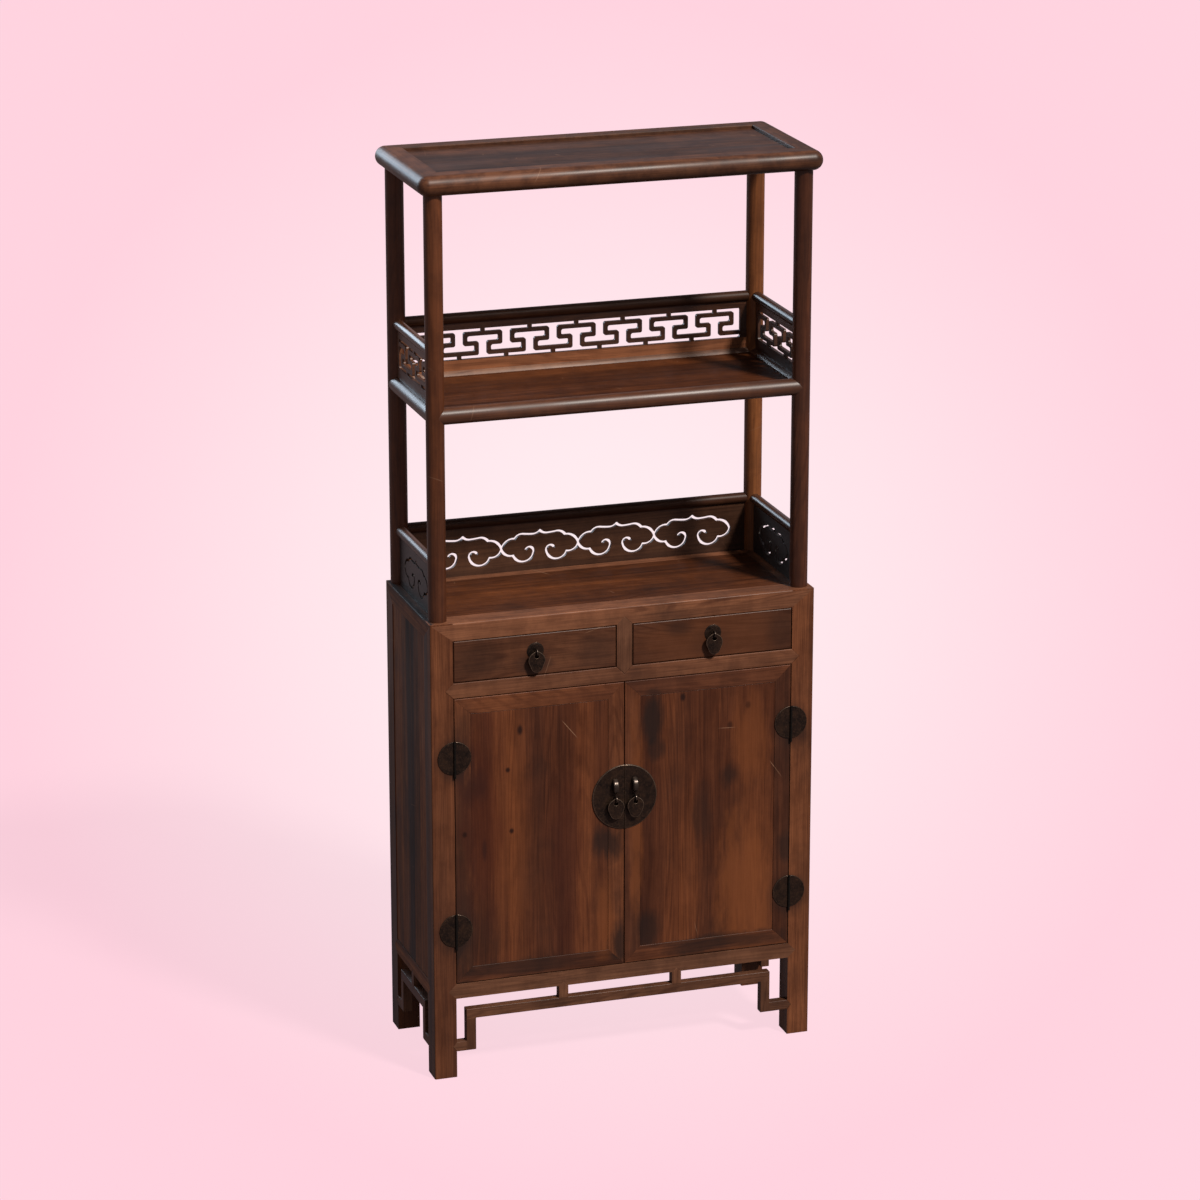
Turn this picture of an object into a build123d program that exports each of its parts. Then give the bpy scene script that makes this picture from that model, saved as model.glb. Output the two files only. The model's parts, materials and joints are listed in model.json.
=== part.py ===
from build123d import *
from math import ceil, sqrt
import os

os.makedirs("parts", exist_ok=True)

# A book cabinet in two tiers: a closed case with two doors and two drawers on a lattice
# apron, and above it four round posts that carry a railed open shelf and a top board.
# Millimetres, +Z up, the doors face -Y, and the origin is on the floor under the middle.

# ---------------------------------------------------------------- driving dimensions
# Case: square legs, a mitred top frame, a drawer rail and a ring of bottom rails
case_width = 780.0
case_depth = 311.0
case_height = 934.0
leg_side = 45.0
top_rail_height = 35.0
case_rail_height = 30.5
drawer_opening = 85.5
bottom_rail_low = 165.0
shoulder_reach = 15.8
shoulder_depth = 12.0
muntin_width = 32.0
muntin_depth = 24.0
case_edge_radius = 2.5

# Boards that fill a frame sit on a tongue in its groove
panel_recess = 1.5
panel_thickness = 14.0
tongue_depth = 5.0
tongue_thickness = 6.0

# Inside the case
inner_board_thickness = 16.0
inner_shelf_top = 480.0
cleat_height = 20.0
guide_height = 26.0
inner_clearance = 0.5

# Lattice apron under the case
apron_member = 20.0
apron_depth = 18.0
apron_bar_top = 140.0
apron_foot_low = 53.6
apron_point = 8.0
front_drop_insets = (30.0, 47.5)
front_struts = (-125.0, 110.0)
front_drop_width = 19.5
side_drops = (-78.0, 78.0)
side_struts = (0.0,)
side_drop_width = 16.0

# Doors
door_gap = 1.5
door_meeting_gap = 1.6
door_thickness = 22.0
door_frame_width = 32.5
door_panel_sink = 0.8
door_panel_thickness = 10.0
door_edge_chamfer = 0.8
batten_height = 30.0
batten_offset = 160.0

# Drawers
drawer_gap = 1.5
drawer_front_thickness = 20.0
drawer_edge_radius = 2.5
drawer_wall = 10.0
drawer_side_height = 64.0
drawer_back_gap = 17.5
drawer_bottom_thickness = 7.0
drawer_bottom_lift = 4.0
drawer_running_gap = 0.4

# Round hinges: two leaves on a vertical pin that stands in front of the seam
hinge_insets = (111.0, 118.5)
hinge_radius = 33.5
hinge_leaf_thickness = 2.0
hinge_leaf_bevel = 0.8
hinge_slot = 5.4
hinge_standoff = 2.8
knuckle_radius = 2.4
knuckle_end_length = 18.0
knuckle_gap = 0.3
hinge_pin_radius = 1.3
hinge_pin_fit = 0.05
hinge_pin_foot = 7.0

# Lock plate, lock staples and drop pulls
lock_radius = 66.5
lock_lift = 349.5
lock_plate_thickness = 2.2
lock_plate_bevel = 1.4
fitting_offset = 20.0
staple_lift = 8.5
staple_height = 31.0
staple_reach = 13.0
staple_bar = 5.5
staple_width = 11.0
staple_chamfer = 2.0
door_pull_drop = 0.9
drawer_pull_lift = 50.1
pull_plate_radius = 17.0
pull_plate_thickness = 2.2
pull_plate_bevel = 3.5
pull_plate_rim = 0.8
eye_radius = 5.3
eye_wire = 1.4
eye_chamfer = 0.8
eye_standoff = 7.5
eye_shank_radius = 1.9
pendant_thickness = 3.0
pendant_web = 6.4
pendant_hole_radius = 4.75
pendant_shoulder_radius = 16.9
pendant_shoulder_drop = 16.45
pendant_tip_radius = 12.0
pendant_drop = 41.0
pendant_chamfer = 0.7

# Posts of the open tier
upper_setback = 5.0
post_radius = 17.8
post_inset_x = 23.0
post_inset_y = 23.6
post_tenon = 10.0

# Top board
tier_height = 866.0
board_thickness = 39.0
board_overhang_x = 10.0
board_overhang_y = 8.5
board_corner_radius = 20.5
board_edge_radius = 19.3
board_rail_width = 47.0
board_inner_chamfer = 1.6
board_panel_recess = 6.5
board_panel_thickness = 14.0

# Railed shelf
shelf_axis_lift = 402.0
shelf_rail_radius = 16.5
shelf_rail_flush = 0.2
shelf_panel_rise = 8.0
shelf_panel_thickness = 14.0

# Gallery rails and the panels that they cap
gallery_rail_radius = 10.6
gallery_panel_thickness = 7.0
gallery_groove = 5.0

# Key fret, its heights from the axis of the shelf rails
fret_rail_lift = 130.5
fret_opening_lift = 37.0
fret_opening = 59.6
fret_jamb = 13.2
fret_opening_radius = 5.0
fret_pitch = 95.4
fret_bar = 7.8
fret_bar_length = 78.6
fret_level_spacing = 19.4
fret_shift = -2.9
fret_rounding = 4.2

# Cloud piercing, its heights from the case top
cloud_rail_lift = 118.5
cloud_pitch = 159.0
cloud_middle_lift = 48.0
slit_width = 5.2

# ---------------------------------------------------------------- derived places
# The bounding box is centred over the origin in Y, hardware and top board included.
board_length = case_width + 2 * board_overhang_x
board_width = case_depth + 2 * board_overhang_y
pull_reach = eye_standoff + eye_radius + eye_wire
plate_reach = max(lock_plate_thickness, pull_plate_thickness)
front_reach = max(case_depth / 2 + plate_reach + pull_reach, board_width / 2 - upper_setback)
back_reach = max(case_depth / 2, board_width / 2 + upper_setback)
case_y = (front_reach - back_reach) / 2
upper_y = case_y + upper_setback

side_x = case_width / 2
inner_x = side_x - leg_side
case_front = case_y - case_depth / 2
case_back = case_y + case_depth / 2
inner_front = case_front + leg_side
inner_back = case_back - leg_side
top_rail_low = case_height - top_rail_height
drawer_rail_top = top_rail_low - drawer_opening
drawer_rail_low = drawer_rail_top - case_rail_height
bottom_rail_top = bottom_rail_low + case_rail_height
lining_x = side_x - panel_recess - panel_thickness
lining_back = case_back - panel_recess - panel_thickness
door_low = bottom_rail_top + door_gap
door_high = drawer_rail_low - door_gap
lock_height = door_low + lock_lift

front_plane = Plane.XZ.offset(-case_front)
back_plane = Plane.XZ.offset(-case_back)

post_half_spacing_x = side_x - post_inset_x
post_half_spacing_y = case_depth / 2 - post_inset_y
board_top = case_height + tier_height
post_places = {
    "front_left": (-post_half_spacing_x, upper_y - post_half_spacing_y),
    "front_right": (post_half_spacing_x, upper_y - post_half_spacing_y),
    "back_left": (-post_half_spacing_x, upper_y + post_half_spacing_y),
    "back_right": (post_half_spacing_x, upper_y + post_half_spacing_y),
}
sides = {"left": -1, "right": 1}


# ---------------------------------------------------------------- helpers
def block(low, high, mode=Mode.ADD):
    """Box between two opposite corners."""
    centre = tuple((a + b) / 2 for a, b in zip(low, high))
    size = tuple(b - a for a, b in zip(low, high))
    with Locations(centre):
        Box(*size, mode=mode)


def tongued_panel(low, high, thin_axis):
    """Board that fills an opening, with the tongue round it that sits in the groove."""
    block(low, high)
    middle = (low[thin_axis] + high[thin_axis]) / 2
    tongue_low = [value - tongue_depth for value in low]
    tongue_high = [value + tongue_depth for value in high]
    tongue_low[thin_axis] = middle - tongue_thickness / 2
    tongue_high[thin_axis] = middle + tongue_thickness / 2
    block(tongue_low, tongue_high)


def pointed_bar(start, end, low, high, reach):
    """Horizontal bar whose two ends run out to a point."""
    middle = (low + high) / 2
    Polygon(
        (start, low), (end, low), (end + reach, middle),
        (end, high), (start, high), (start - reach, middle),
        align=None,
    )


def pointed_post(start, end, low, high, reach_low, reach_high):
    """Upright bar whose two ends run out to a point."""
    middle = (start + end) / 2
    Polygon(
        (start, low), (middle, low - reach_low), (end, low),
        (end, high), (middle, high + reach_high), (start, high),
        align=None,
    )


def let_in(*pieces):
    """Cut the seats of finished neighbours into the piece being made."""
    for piece in pieces:
        add(piece.part, mode=Mode.SUBTRACT)


def apron_members(middle, half_span, drops, struts, drop_width):
    """Lattice in one plane: bar, two drops, two feet into the legs and the struts above."""
    bar_low = apron_bar_top - apron_member
    foot_high = apron_foot_low + apron_member
    first, last = middle + drops[0], middle + drops[1]
    with Locations(((first + last) / 2, apron_bar_top - apron_member / 2)):
        Rectangle(last - first + drop_width, apron_member)
    with Locations((first, (apron_foot_low + apron_bar_top) / 2), (last, (apron_foot_low + apron_bar_top) / 2)):
        Rectangle(drop_width, apron_bar_top - apron_foot_low)
    pointed_bar(middle - half_span, first, apron_foot_low, foot_high, apron_point)
    pointed_bar(last, middle + half_span, apron_foot_low, foot_high, apron_point)
    for strut in struts:
        start = middle + strut - drop_width / 2
        pointed_post(start, start + drop_width, bar_low, bottom_rail_low, 0, apron_point)


def fret_units(middle, half_steps):
    """Places of the fret's units along its run: an even step hangs, an odd one stands."""
    for step in range(-half_steps, half_steps + 1):
        yield step, middle + step * fret_pitch / 2


def fret_meander(middle, half_steps):
    """One running meander: a high or low bar at each unit, joined at the middle level."""
    for step, place in fret_units(middle, half_steps):
        level = fret_height + (fret_level_spacing if step % 2 == 0 else -fret_level_spacing)
        with Locations((place, level)):
            Rectangle(fret_bar_length, fret_bar)
        end = (fret_bar_length - fret_bar) / 2
        with Locations((place - end, (level + fret_height) / 2), (place + end, (level + fret_height) / 2)):
            Rectangle(fret_bar, fret_level_spacing + fret_bar)
        with Locations((place + fret_pitch / 4, fret_height), (place - fret_pitch / 4, fret_height)):
            Rectangle(fret_bar_length - fret_pitch / 2, fret_bar)


def fret_links(middle, half_steps):
    """Short uprights that hang each high bar and carry each low one."""
    link = fret_opening / 2 - fret_level_spacing
    offset = (fret_opening - link) / 2
    for step, place in fret_units(middle, half_steps):
        height = fret_height + (offset if step % 2 == 0 else -offset)
        with Locations((place, height)):
            Rectangle(fret_bar, link)


# ---------------------------------------------------------------- posts of the open tier
posts = {}
for place_name, (post_x, post_y) in post_places.items():
    with BuildPart() as post:
        with BuildSketch(Plane.XY.offset(case_height)):
            with Locations((post_x, post_y)):
                Circle(post_radius)
        extrude(amount=board_top - board_thickness + post_tenon - case_height)
    post.part.label = f"post_{place_name}"
    export_step(post.part, f"parts/post_{place_name}.step")
    posts[place_name] = post

# ---------------------------------------------------------------- top board
board_low = board_top - board_thickness
opening_x = board_length / 2 - board_rail_width
opening_y = board_width / 2 - board_rail_width

with BuildPart() as board_panel:
    panel_top = board_top - board_panel_recess
    tongued_panel(
        (-opening_x, upper_y - opening_y, panel_top - board_panel_thickness),
        (opening_x, upper_y + opening_y, panel_top),
        2,
    )
board_panel.part.label = "board_panel"
export_step(board_panel.part, "parts/board_panel.step")

with BuildPart() as board_frame:
    with BuildSketch(Plane.XY.offset(board_low)):
        with Locations((0, upper_y)):
            RectangleRounded(board_length, board_width, board_corner_radius)
    extrude(amount=board_thickness)
    rims = board_frame.faces().filter_by(Axis.Z).edges()
    fillet(rims, radius=board_edge_radius)
    block(
        (-opening_x, upper_y - opening_y, board_low),
        (opening_x, upper_y + opening_y, board_top),
        Mode.SUBTRACT,
    )
    inner_edges = board_frame.faces().sort_by(Axis.Z)[-1].inner_wires().edges()
    chamfer(inner_edges, length=board_inner_chamfer)
    let_in(board_panel, *posts.values())

with BuildPart() as board_rails_long:
    add(board_frame.part)
    with BuildSketch(Plane.XY.offset(board_low)):
        for side in sides.values():
            Polygon(
                (side * board_length / 2, upper_y - board_width / 2),
                (side * board_length / 2, upper_y + board_width / 2),
                (side * opening_x, upper_y + opening_y),
                (side * opening_x, upper_y - opening_y),
                align=None,
            )
    extrude(amount=board_thickness, mode=Mode.SUBTRACT)
board_rails_long.part.label = "board_rails_long"
export_step(board_rails_long.part, "parts/board_rails_long.step")

with BuildPart() as board_rails_short:
    add(board_frame.part)
    let_in(board_rails_long)
board_rails_short.part.label = "board_rails_short"
export_step(board_rails_short.part, "parts/board_rails_short.step")

# ---------------------------------------------------------------- railed shelf
rail_x = post_half_spacing_x + post_radius - shelf_rail_flush - shelf_rail_radius
rail_y = post_half_spacing_y + post_radius - shelf_rail_flush - shelf_rail_radius
shelf_axis_height = case_height + shelf_axis_lift
shelf_panel_top = shelf_axis_height + shelf_panel_rise
shelf_panel_entry = sqrt(shelf_rail_radius**2 - shelf_panel_rise**2)
shelf_panel_x = rail_x - shelf_panel_entry
shelf_panel_y = rail_y - shelf_panel_entry
shelf_groove_low = shelf_axis_height + shelf_rail_radius - gallery_groove

with BuildPart() as shelf_panel:
    tongued_panel(
        (-shelf_panel_x, upper_y - shelf_panel_y, shelf_panel_top - shelf_panel_thickness),
        (shelf_panel_x, upper_y + shelf_panel_y, shelf_panel_top),
        2,
    )
    let_in(*posts.values())
shelf_panel.part.label = "shelf_panel"
export_step(shelf_panel.part, "parts/shelf_panel.step")

# ---------------------------------------------------------------- key fret
fret_axis_height = shelf_axis_height + fret_rail_lift - gallery_rail_radius
fret_rail_groove = fret_axis_height - gallery_rail_radius + gallery_groove
fret_back_half = post_half_spacing_x - post_radius - fret_jamb
fret_side_half = post_half_spacing_y - post_radius - fret_jamb
fret_back_steps = ceil(2 * fret_back_half / fret_pitch)
fret_side_steps = ceil(2 * fret_side_half / fret_pitch)
fret_height = shelf_axis_height + fret_opening_lift + fret_opening / 2
back_gallery_plane = Plane.XZ.offset(-upper_y - post_half_spacing_y)

with BuildSketch(Plane.XY) as back_fret_bars:
    fret_meander(fret_shift, fret_back_steps)
    corners = back_fret_bars.vertices().filter_by_position(Axis.X, -fret_back_half, fret_back_half)
    fillet(corners, radius=fret_rounding)
    fret_links(fret_shift, fret_back_steps - 2)
    with Locations((0, fret_height)):
        Rectangle(2 * fret_back_half, fret_opening, mode=Mode.INTERSECT)

with BuildSketch(Plane.XY) as side_fret_bars:
    fret_meander(upper_y, fret_side_steps)
    corners = side_fret_bars.vertices().filter_by_position(
        Axis.X, upper_y - fret_side_half, upper_y + fret_side_half
    )
    fillet(corners, radius=fret_rounding)
    fret_links(upper_y, fret_side_steps - 2)
    with Locations((upper_y, fret_height)):
        Rectangle(2 * fret_side_half, fret_opening, mode=Mode.INTERSECT)

with BuildPart() as fret_panels:
    with BuildSketch(back_gallery_plane):
        with Locations((0, (shelf_groove_low + fret_rail_groove) / 2)):
            Rectangle(2 * post_half_spacing_x, fret_rail_groove - shelf_groove_low)
        with Locations((0, fret_height)):
            RectangleRounded(2 * fret_back_half, fret_opening, fret_opening_radius, mode=Mode.SUBTRACT)
        add(back_fret_bars.sketch)
    extrude(amount=gallery_panel_thickness / 2, both=True)
    for side in sides.values():
        with BuildSketch(Plane.YZ.offset(side * post_half_spacing_x)):
            with Locations((upper_y, (shelf_groove_low + fret_rail_groove) / 2)):
                Rectangle(2 * post_half_spacing_y, fret_rail_groove - shelf_groove_low)
            with Locations((upper_y, fret_height)):
                RectangleRounded(2 * fret_side_half, fret_opening, fret_opening_radius, mode=Mode.SUBTRACT)
            add(side_fret_bars.sketch)
        extrude(amount=gallery_panel_thickness / 2, both=True)
    let_in(*posts.values())
fret_panels.part.label = "fret_panels"
export_step(fret_panels.part, "parts/fret_panels.step")

# ---------------------------------------------------------------- cloud piercing
cloud_axis_height = case_height + cloud_rail_lift - gallery_rail_radius
cloud_middle_height = case_height + cloud_middle_lift
cloud_count = int(2 * (post_half_spacing_x - post_radius) / cloud_pitch)
cloud_rail_groove = cloud_axis_height - gallery_rail_radius + gallery_groove

# One cloud, about its own middle: a peaked crown, a lobe to the tip and a scroll below
crown_peak = (0.0, 31.5)
crown_flank = (6.9, 26.5)
crown_dip = (15.3, 25.0)
crown_rise = (25.5, 25.7)
crown_swell = (35.3, 26.9)
crown_fall = (46.3, 24.4)
crown_notch = (52.5, 18.5)
lobe_shoulder = (69.5, 14.2)
cloud_tip = (cloud_pitch / 2, 0.0)
belly_shoulder = (71.5, -12.5)
belly_notch = (55.0, -16.0)
scroll_bottom = (33.0, -30.3)
scroll_side = (13.8, -13.5)
scroll_top = (21.5, -0.9)
scroll_end = (29.0, -4.6)
cloud_arcs = (
    (crown_peak, crown_flank, crown_dip),
    (crown_dip, crown_rise, crown_swell),
    (crown_swell, crown_fall, crown_notch),
    (crown_notch, lobe_shoulder, cloud_tip),
    (cloud_tip, belly_shoulder, belly_notch),
    (belly_notch, scroll_bottom, scroll_side),
    (scroll_side, scroll_top, scroll_end),
)

with BuildSketch(Plane.XY) as cloud_slit:
    for cloud_arc in cloud_arcs:
        SlotArc(Edge.make_three_point_arc(*cloud_arc), slit_width)
    mirror(about=Plane.YZ)

with BuildPart() as cloud_panels:
    with BuildSketch(back_gallery_plane):
        with Locations((0, (case_height + cloud_rail_groove) / 2)):
            Rectangle(2 * post_half_spacing_x, cloud_rail_groove - case_height)
        with Locations((0, cloud_middle_height)):
            with GridLocations(cloud_pitch, 0, cloud_count, 1):
                add(cloud_slit.sketch, mode=Mode.SUBTRACT)
    extrude(amount=gallery_panel_thickness / 2, both=True)
    for side in sides.values():
        with BuildSketch(Plane.YZ.offset(side * post_half_spacing_x)):
            with Locations((upper_y, (case_height + cloud_rail_groove) / 2)):
                Rectangle(2 * post_half_spacing_y, cloud_rail_groove - case_height)
            with Locations((upper_y, cloud_middle_height)):
                add(cloud_slit.sketch, mode=Mode.SUBTRACT)
        extrude(amount=gallery_panel_thickness / 2, both=True)
    let_in(*posts.values())
cloud_panels.part.label = "cloud_panels"
export_step(cloud_panels.part, "parts/cloud_panels.step")

with BuildPart() as gallery_rails:
    for axis_height in (fret_axis_height, cloud_axis_height):
        with BuildSketch(Plane.YZ.offset(-post_half_spacing_x)):
            with Locations((upper_y + post_half_spacing_y, axis_height)):
                Circle(gallery_rail_radius)
        extrude(amount=2 * post_half_spacing_x)
        with BuildSketch(back_gallery_plane):
            with Locations((-post_half_spacing_x, axis_height), (post_half_spacing_x, axis_height)):
                Circle(gallery_rail_radius)
        extrude(amount=2 * post_half_spacing_y)
    let_in(fret_panels, cloud_panels, *posts.values())
gallery_rails.part.label = "gallery_rails"
export_step(gallery_rails.part, "parts/gallery_rails.step")

with BuildPart() as shelf_rails_long:
    with BuildSketch(Plane.YZ.offset(-post_half_spacing_x)):
        with Locations((upper_y - rail_y, shelf_axis_height), (upper_y + rail_y, shelf_axis_height)):
            Circle(shelf_rail_radius)
    extrude(amount=2 * post_half_spacing_x)
    let_in(shelf_panel, fret_panels, *posts.values())
shelf_rails_long.part.label = "shelf_rails_long"
export_step(shelf_rails_long.part, "parts/shelf_rails_long.step")

with BuildPart() as shelf_rails_short:
    with BuildSketch(back_gallery_plane):
        with Locations((-rail_x, shelf_axis_height), (rail_x, shelf_axis_height)):
            Circle(shelf_rail_radius)
    extrude(amount=2 * post_half_spacing_y)
    let_in(shelf_panel, fret_panels, shelf_rails_long, *posts.values())
shelf_rails_short.part.label = "shelf_rails_short"
export_step(shelf_rails_short.part, "parts/shelf_rails_short.step")

# ---------------------------------------------------------------- boards of the case
side_panels = {}
for side_name, side in sides.items():
    with BuildPart() as side_panel:
        near, far = sorted((side * lining_x, side * (side_x - panel_recess)))
        tongued_panel((near, inner_front, bottom_rail_top), (far, inner_back, top_rail_low), 0)
    side_panel.part.label = f"side_panel_{side_name}"
    export_step(side_panel.part, f"parts/side_panel_{side_name}.step")
    side_panels[side_name] = side_panel

with BuildPart() as back_panel:
    tongued_panel(
        (-inner_x, lining_back, bottom_rail_top), (inner_x, case_back - panel_recess, top_rail_low), 1
    )
back_panel.part.label = "back_panel"
export_step(back_panel.part, "parts/back_panel.step")

with BuildPart() as case_top_panel:
    tongued_panel(
        (-inner_x, inner_front, case_height - panel_thickness), (inner_x, inner_back, case_height), 2
    )
case_top_panel.part.label = "case_top_panel"
export_step(case_top_panel.part, "parts/case_top_panel.step")

with BuildPart() as floor_board:
    tongued_panel(
        (-inner_x, inner_front, bottom_rail_top - panel_thickness), (inner_x, inner_back, bottom_rail_top), 2
    )
floor_board.part.label = "floor_board"
export_step(floor_board.part, "parts/floor_board.step")

# ---------------------------------------------------------------- lattice apron
with BuildPart() as apron_front:
    with BuildSketch(front_plane):
        front_drops = (front_drop_insets[0] - inner_x, inner_x - front_drop_insets[1])
        apron_members(0, inner_x, front_drops, front_struts, front_drop_width)
    extrude(amount=-apron_depth)
apron_front.part.label = "apron_front"
export_step(apron_front.part, "parts/apron_front.step")

aprons = [apron_front]
for side_name, side in sides.items():
    with BuildPart() as apron_side:
        with BuildSketch(Plane.YZ.offset(side * side_x)):
            apron_members(case_y, case_depth / 2 - leg_side, side_drops, side_struts, side_drop_width)
        extrude(amount=-side * apron_depth)
    apron_side.part.label = f"apron_{side_name}"
    export_step(apron_side.part, f"parts/apron_{side_name}.step")
    aprons.append(apron_side)

# ---------------------------------------------------------------- rails of the case
with BuildPart() as muntin:
    with BuildSketch(front_plane):
        pointed_post(
            -muntin_width / 2, muntin_width / 2, drawer_rail_top, top_rail_low, shoulder_reach, shoulder_reach
        )
    extrude(amount=-shoulder_depth)
    block(
        (-muntin_width / 2, case_front, drawer_rail_top),
        (muntin_width / 2, case_front + muntin_depth, top_rail_low),
    )
muntin.part.label = "muntin"
export_step(muntin.part, "parts/muntin.step")

with BuildPart() as top_frame:
    block((-side_x, case_front, top_rail_low), (side_x, case_back, case_height))
    outer_edges = top_frame.faces().sort_by(Axis.Z)[-1].edges()
    fillet(outer_edges + top_frame.edges().filter_by(Axis.Z), radius=case_edge_radius)
    block((-inner_x, inner_front, top_rail_low), (inner_x, inner_back, case_height), Mode.SUBTRACT)
    let_in(case_top_panel, back_panel, muntin, *side_panels.values())

with BuildPart() as top_rails_long:
    add(top_frame.part)
    with BuildSketch(Plane.XY.offset(top_rail_low)):
        for side in sides.values():
            Polygon(
                (side * side_x, case_front), (side * side_x, case_back),
                (side * inner_x, inner_back), (side * inner_x, inner_front),
                align=None,
            )
    extrude(amount=top_rail_height, mode=Mode.SUBTRACT)
    for side in sides.values():
        leg_mitre = Plane(origin=(side * inner_x, 0, top_rail_low), z_dir=(-side * top_rail_height, 0, leg_side))
        split(bisect_by=leg_mitre, keep=Keep.TOP)
top_rails_long.part.label = "top_rails_long"
export_step(top_rails_long.part, "parts/top_rails_long.step")

with BuildPart() as top_rails_side:
    add(top_frame.part)
    with BuildSketch(Plane.XY.offset(top_rail_low)):
        for outer, inner in ((case_front, inner_front), (case_back, inner_back)):
            Polygon((-side_x, outer), (side_x, outer), (inner_x, inner), (-inner_x, inner), align=None)
    extrude(amount=top_rail_height, mode=Mode.SUBTRACT)
    for side, inner in ((-1, inner_front), (1, inner_back)):
        leg_mitre = Plane(origin=(0, inner, top_rail_low), z_dir=(0, -side * top_rail_height, leg_side))
        split(bisect_by=leg_mitre, keep=Keep.TOP)
top_rails_side.part.label = "top_rails_side"
export_step(top_rails_side.part, "parts/top_rails_side.step")

with BuildPart() as drawer_rail:
    with BuildSketch(front_plane):
        pointed_bar(-inner_x, inner_x, drawer_rail_low, drawer_rail_top, shoulder_reach)
    extrude(amount=-shoulder_depth)
    block((-inner_x, case_front, drawer_rail_low), (inner_x, inner_front, drawer_rail_top))
    let_in(muntin)
drawer_rail.part.label = "drawer_rail"
export_step(drawer_rail.part, "parts/drawer_rail.step")

with BuildPart() as bottom_rails_long:
    for rail_plane, inward in ((front_plane, -1), (back_plane, 1)):
        with BuildSketch(rail_plane):
            pointed_bar(-inner_x, inner_x, bottom_rail_low, bottom_rail_top, shoulder_reach)
        extrude(amount=inward * shoulder_depth)
    block((-inner_x, case_front, bottom_rail_low), (inner_x, inner_front, bottom_rail_top))
    block((-inner_x, inner_back, bottom_rail_low), (inner_x, case_back, bottom_rail_top))
    let_in(floor_board, back_panel, apron_front)
bottom_rails_long.part.label = "bottom_rails_long"
export_step(bottom_rails_long.part, "parts/bottom_rails_long.step")

with BuildPart() as bottom_rails_side:
    for side in sides.values():
        with BuildSketch(Plane.YZ.offset(side * side_x)):
            pointed_bar(inner_front, inner_back, bottom_rail_low, bottom_rail_top, shoulder_reach)
        extrude(amount=-side * shoulder_depth)
        near, far = sorted((side * inner_x, side * side_x))
        block((near, inner_front, bottom_rail_low), (far, inner_back, bottom_rail_top))
    let_in(floor_board, *side_panels.values(), *aprons)
bottom_rails_side.part.label = "bottom_rails_side"
export_step(bottom_rails_side.part, "parts/bottom_rails_side.step")

# ---------------------------------------------------------------- legs
legs = {}
for place_name in post_places:
    leg_x = side_x if place_name.endswith("right") else -side_x
    leg_y = case_back if place_name.startswith("back") else case_front
    leg_inner_x = inner_x if place_name.endswith("right") else -inner_x
    leg_inner_y = inner_back if place_name.startswith("back") else inner_front
    with BuildPart() as leg:
        block(
            (min(leg_x, leg_inner_x), min(leg_y, leg_inner_y), 0),
            (max(leg_x, leg_inner_x), max(leg_y, leg_inner_y), case_height),
        )
        outer_edge = leg.edges().filter_by(Axis.Z).sort_by_distance((leg_x, leg_y, case_height / 2))[0]
        fillet(outer_edge, radius=case_edge_radius)
        let_in(top_rails_long, top_rails_side, drawer_rail, bottom_rails_long, bottom_rails_side)
        let_in(floor_board, back_panel, case_top_panel, *side_panels.values(), *aprons)
    leg.part.label = f"leg_{place_name}"
    export_step(leg.part, f"parts/leg_{place_name}.step")
    legs[place_name] = leg

# ---------------------------------------------------------------- inside the case
door_back = case_front + door_thickness
dust_board_low = drawer_rail_top - inner_board_thickness
inner_shelf_low = inner_shelf_top - inner_board_thickness

with BuildPart() as inner_shelf:
    block(
        (-lining_x, door_back + inner_clearance, inner_shelf_low), (lining_x, lining_back, inner_shelf_top)
    )
    let_in(*legs.values())
inner_shelf.part.label = "inner_shelf"
export_step(inner_shelf.part, "parts/inner_shelf.step")

with BuildPart() as dust_board:
    block((-lining_x, inner_front, dust_board_low), (lining_x, lining_back, drawer_rail_top))
    let_in(*legs.values())
dust_board.part.label = "dust_board"
export_step(dust_board.part, "parts/dust_board.step")

with BuildPart() as cleats_and_guides:
    for side in sides.values():
        near, far = sorted((side * inner_x, side * lining_x))
        for board_under in (inner_shelf_low, dust_board_low):
            block((near, inner_front, board_under - cleat_height), (far, inner_back, board_under))
        block((near, inner_front, drawer_rail_top), (far, inner_back, drawer_rail_top + guide_height))
    block(
        (-muntin_width / 2, case_front + muntin_depth, drawer_rail_top),
        (muntin_width / 2, lining_back, drawer_rail_top + guide_height),
    )
cleats_and_guides.part.label = "cleats_and_guides"
export_step(cleats_and_guides.part, "parts/cleats_and_guides.step")

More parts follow.
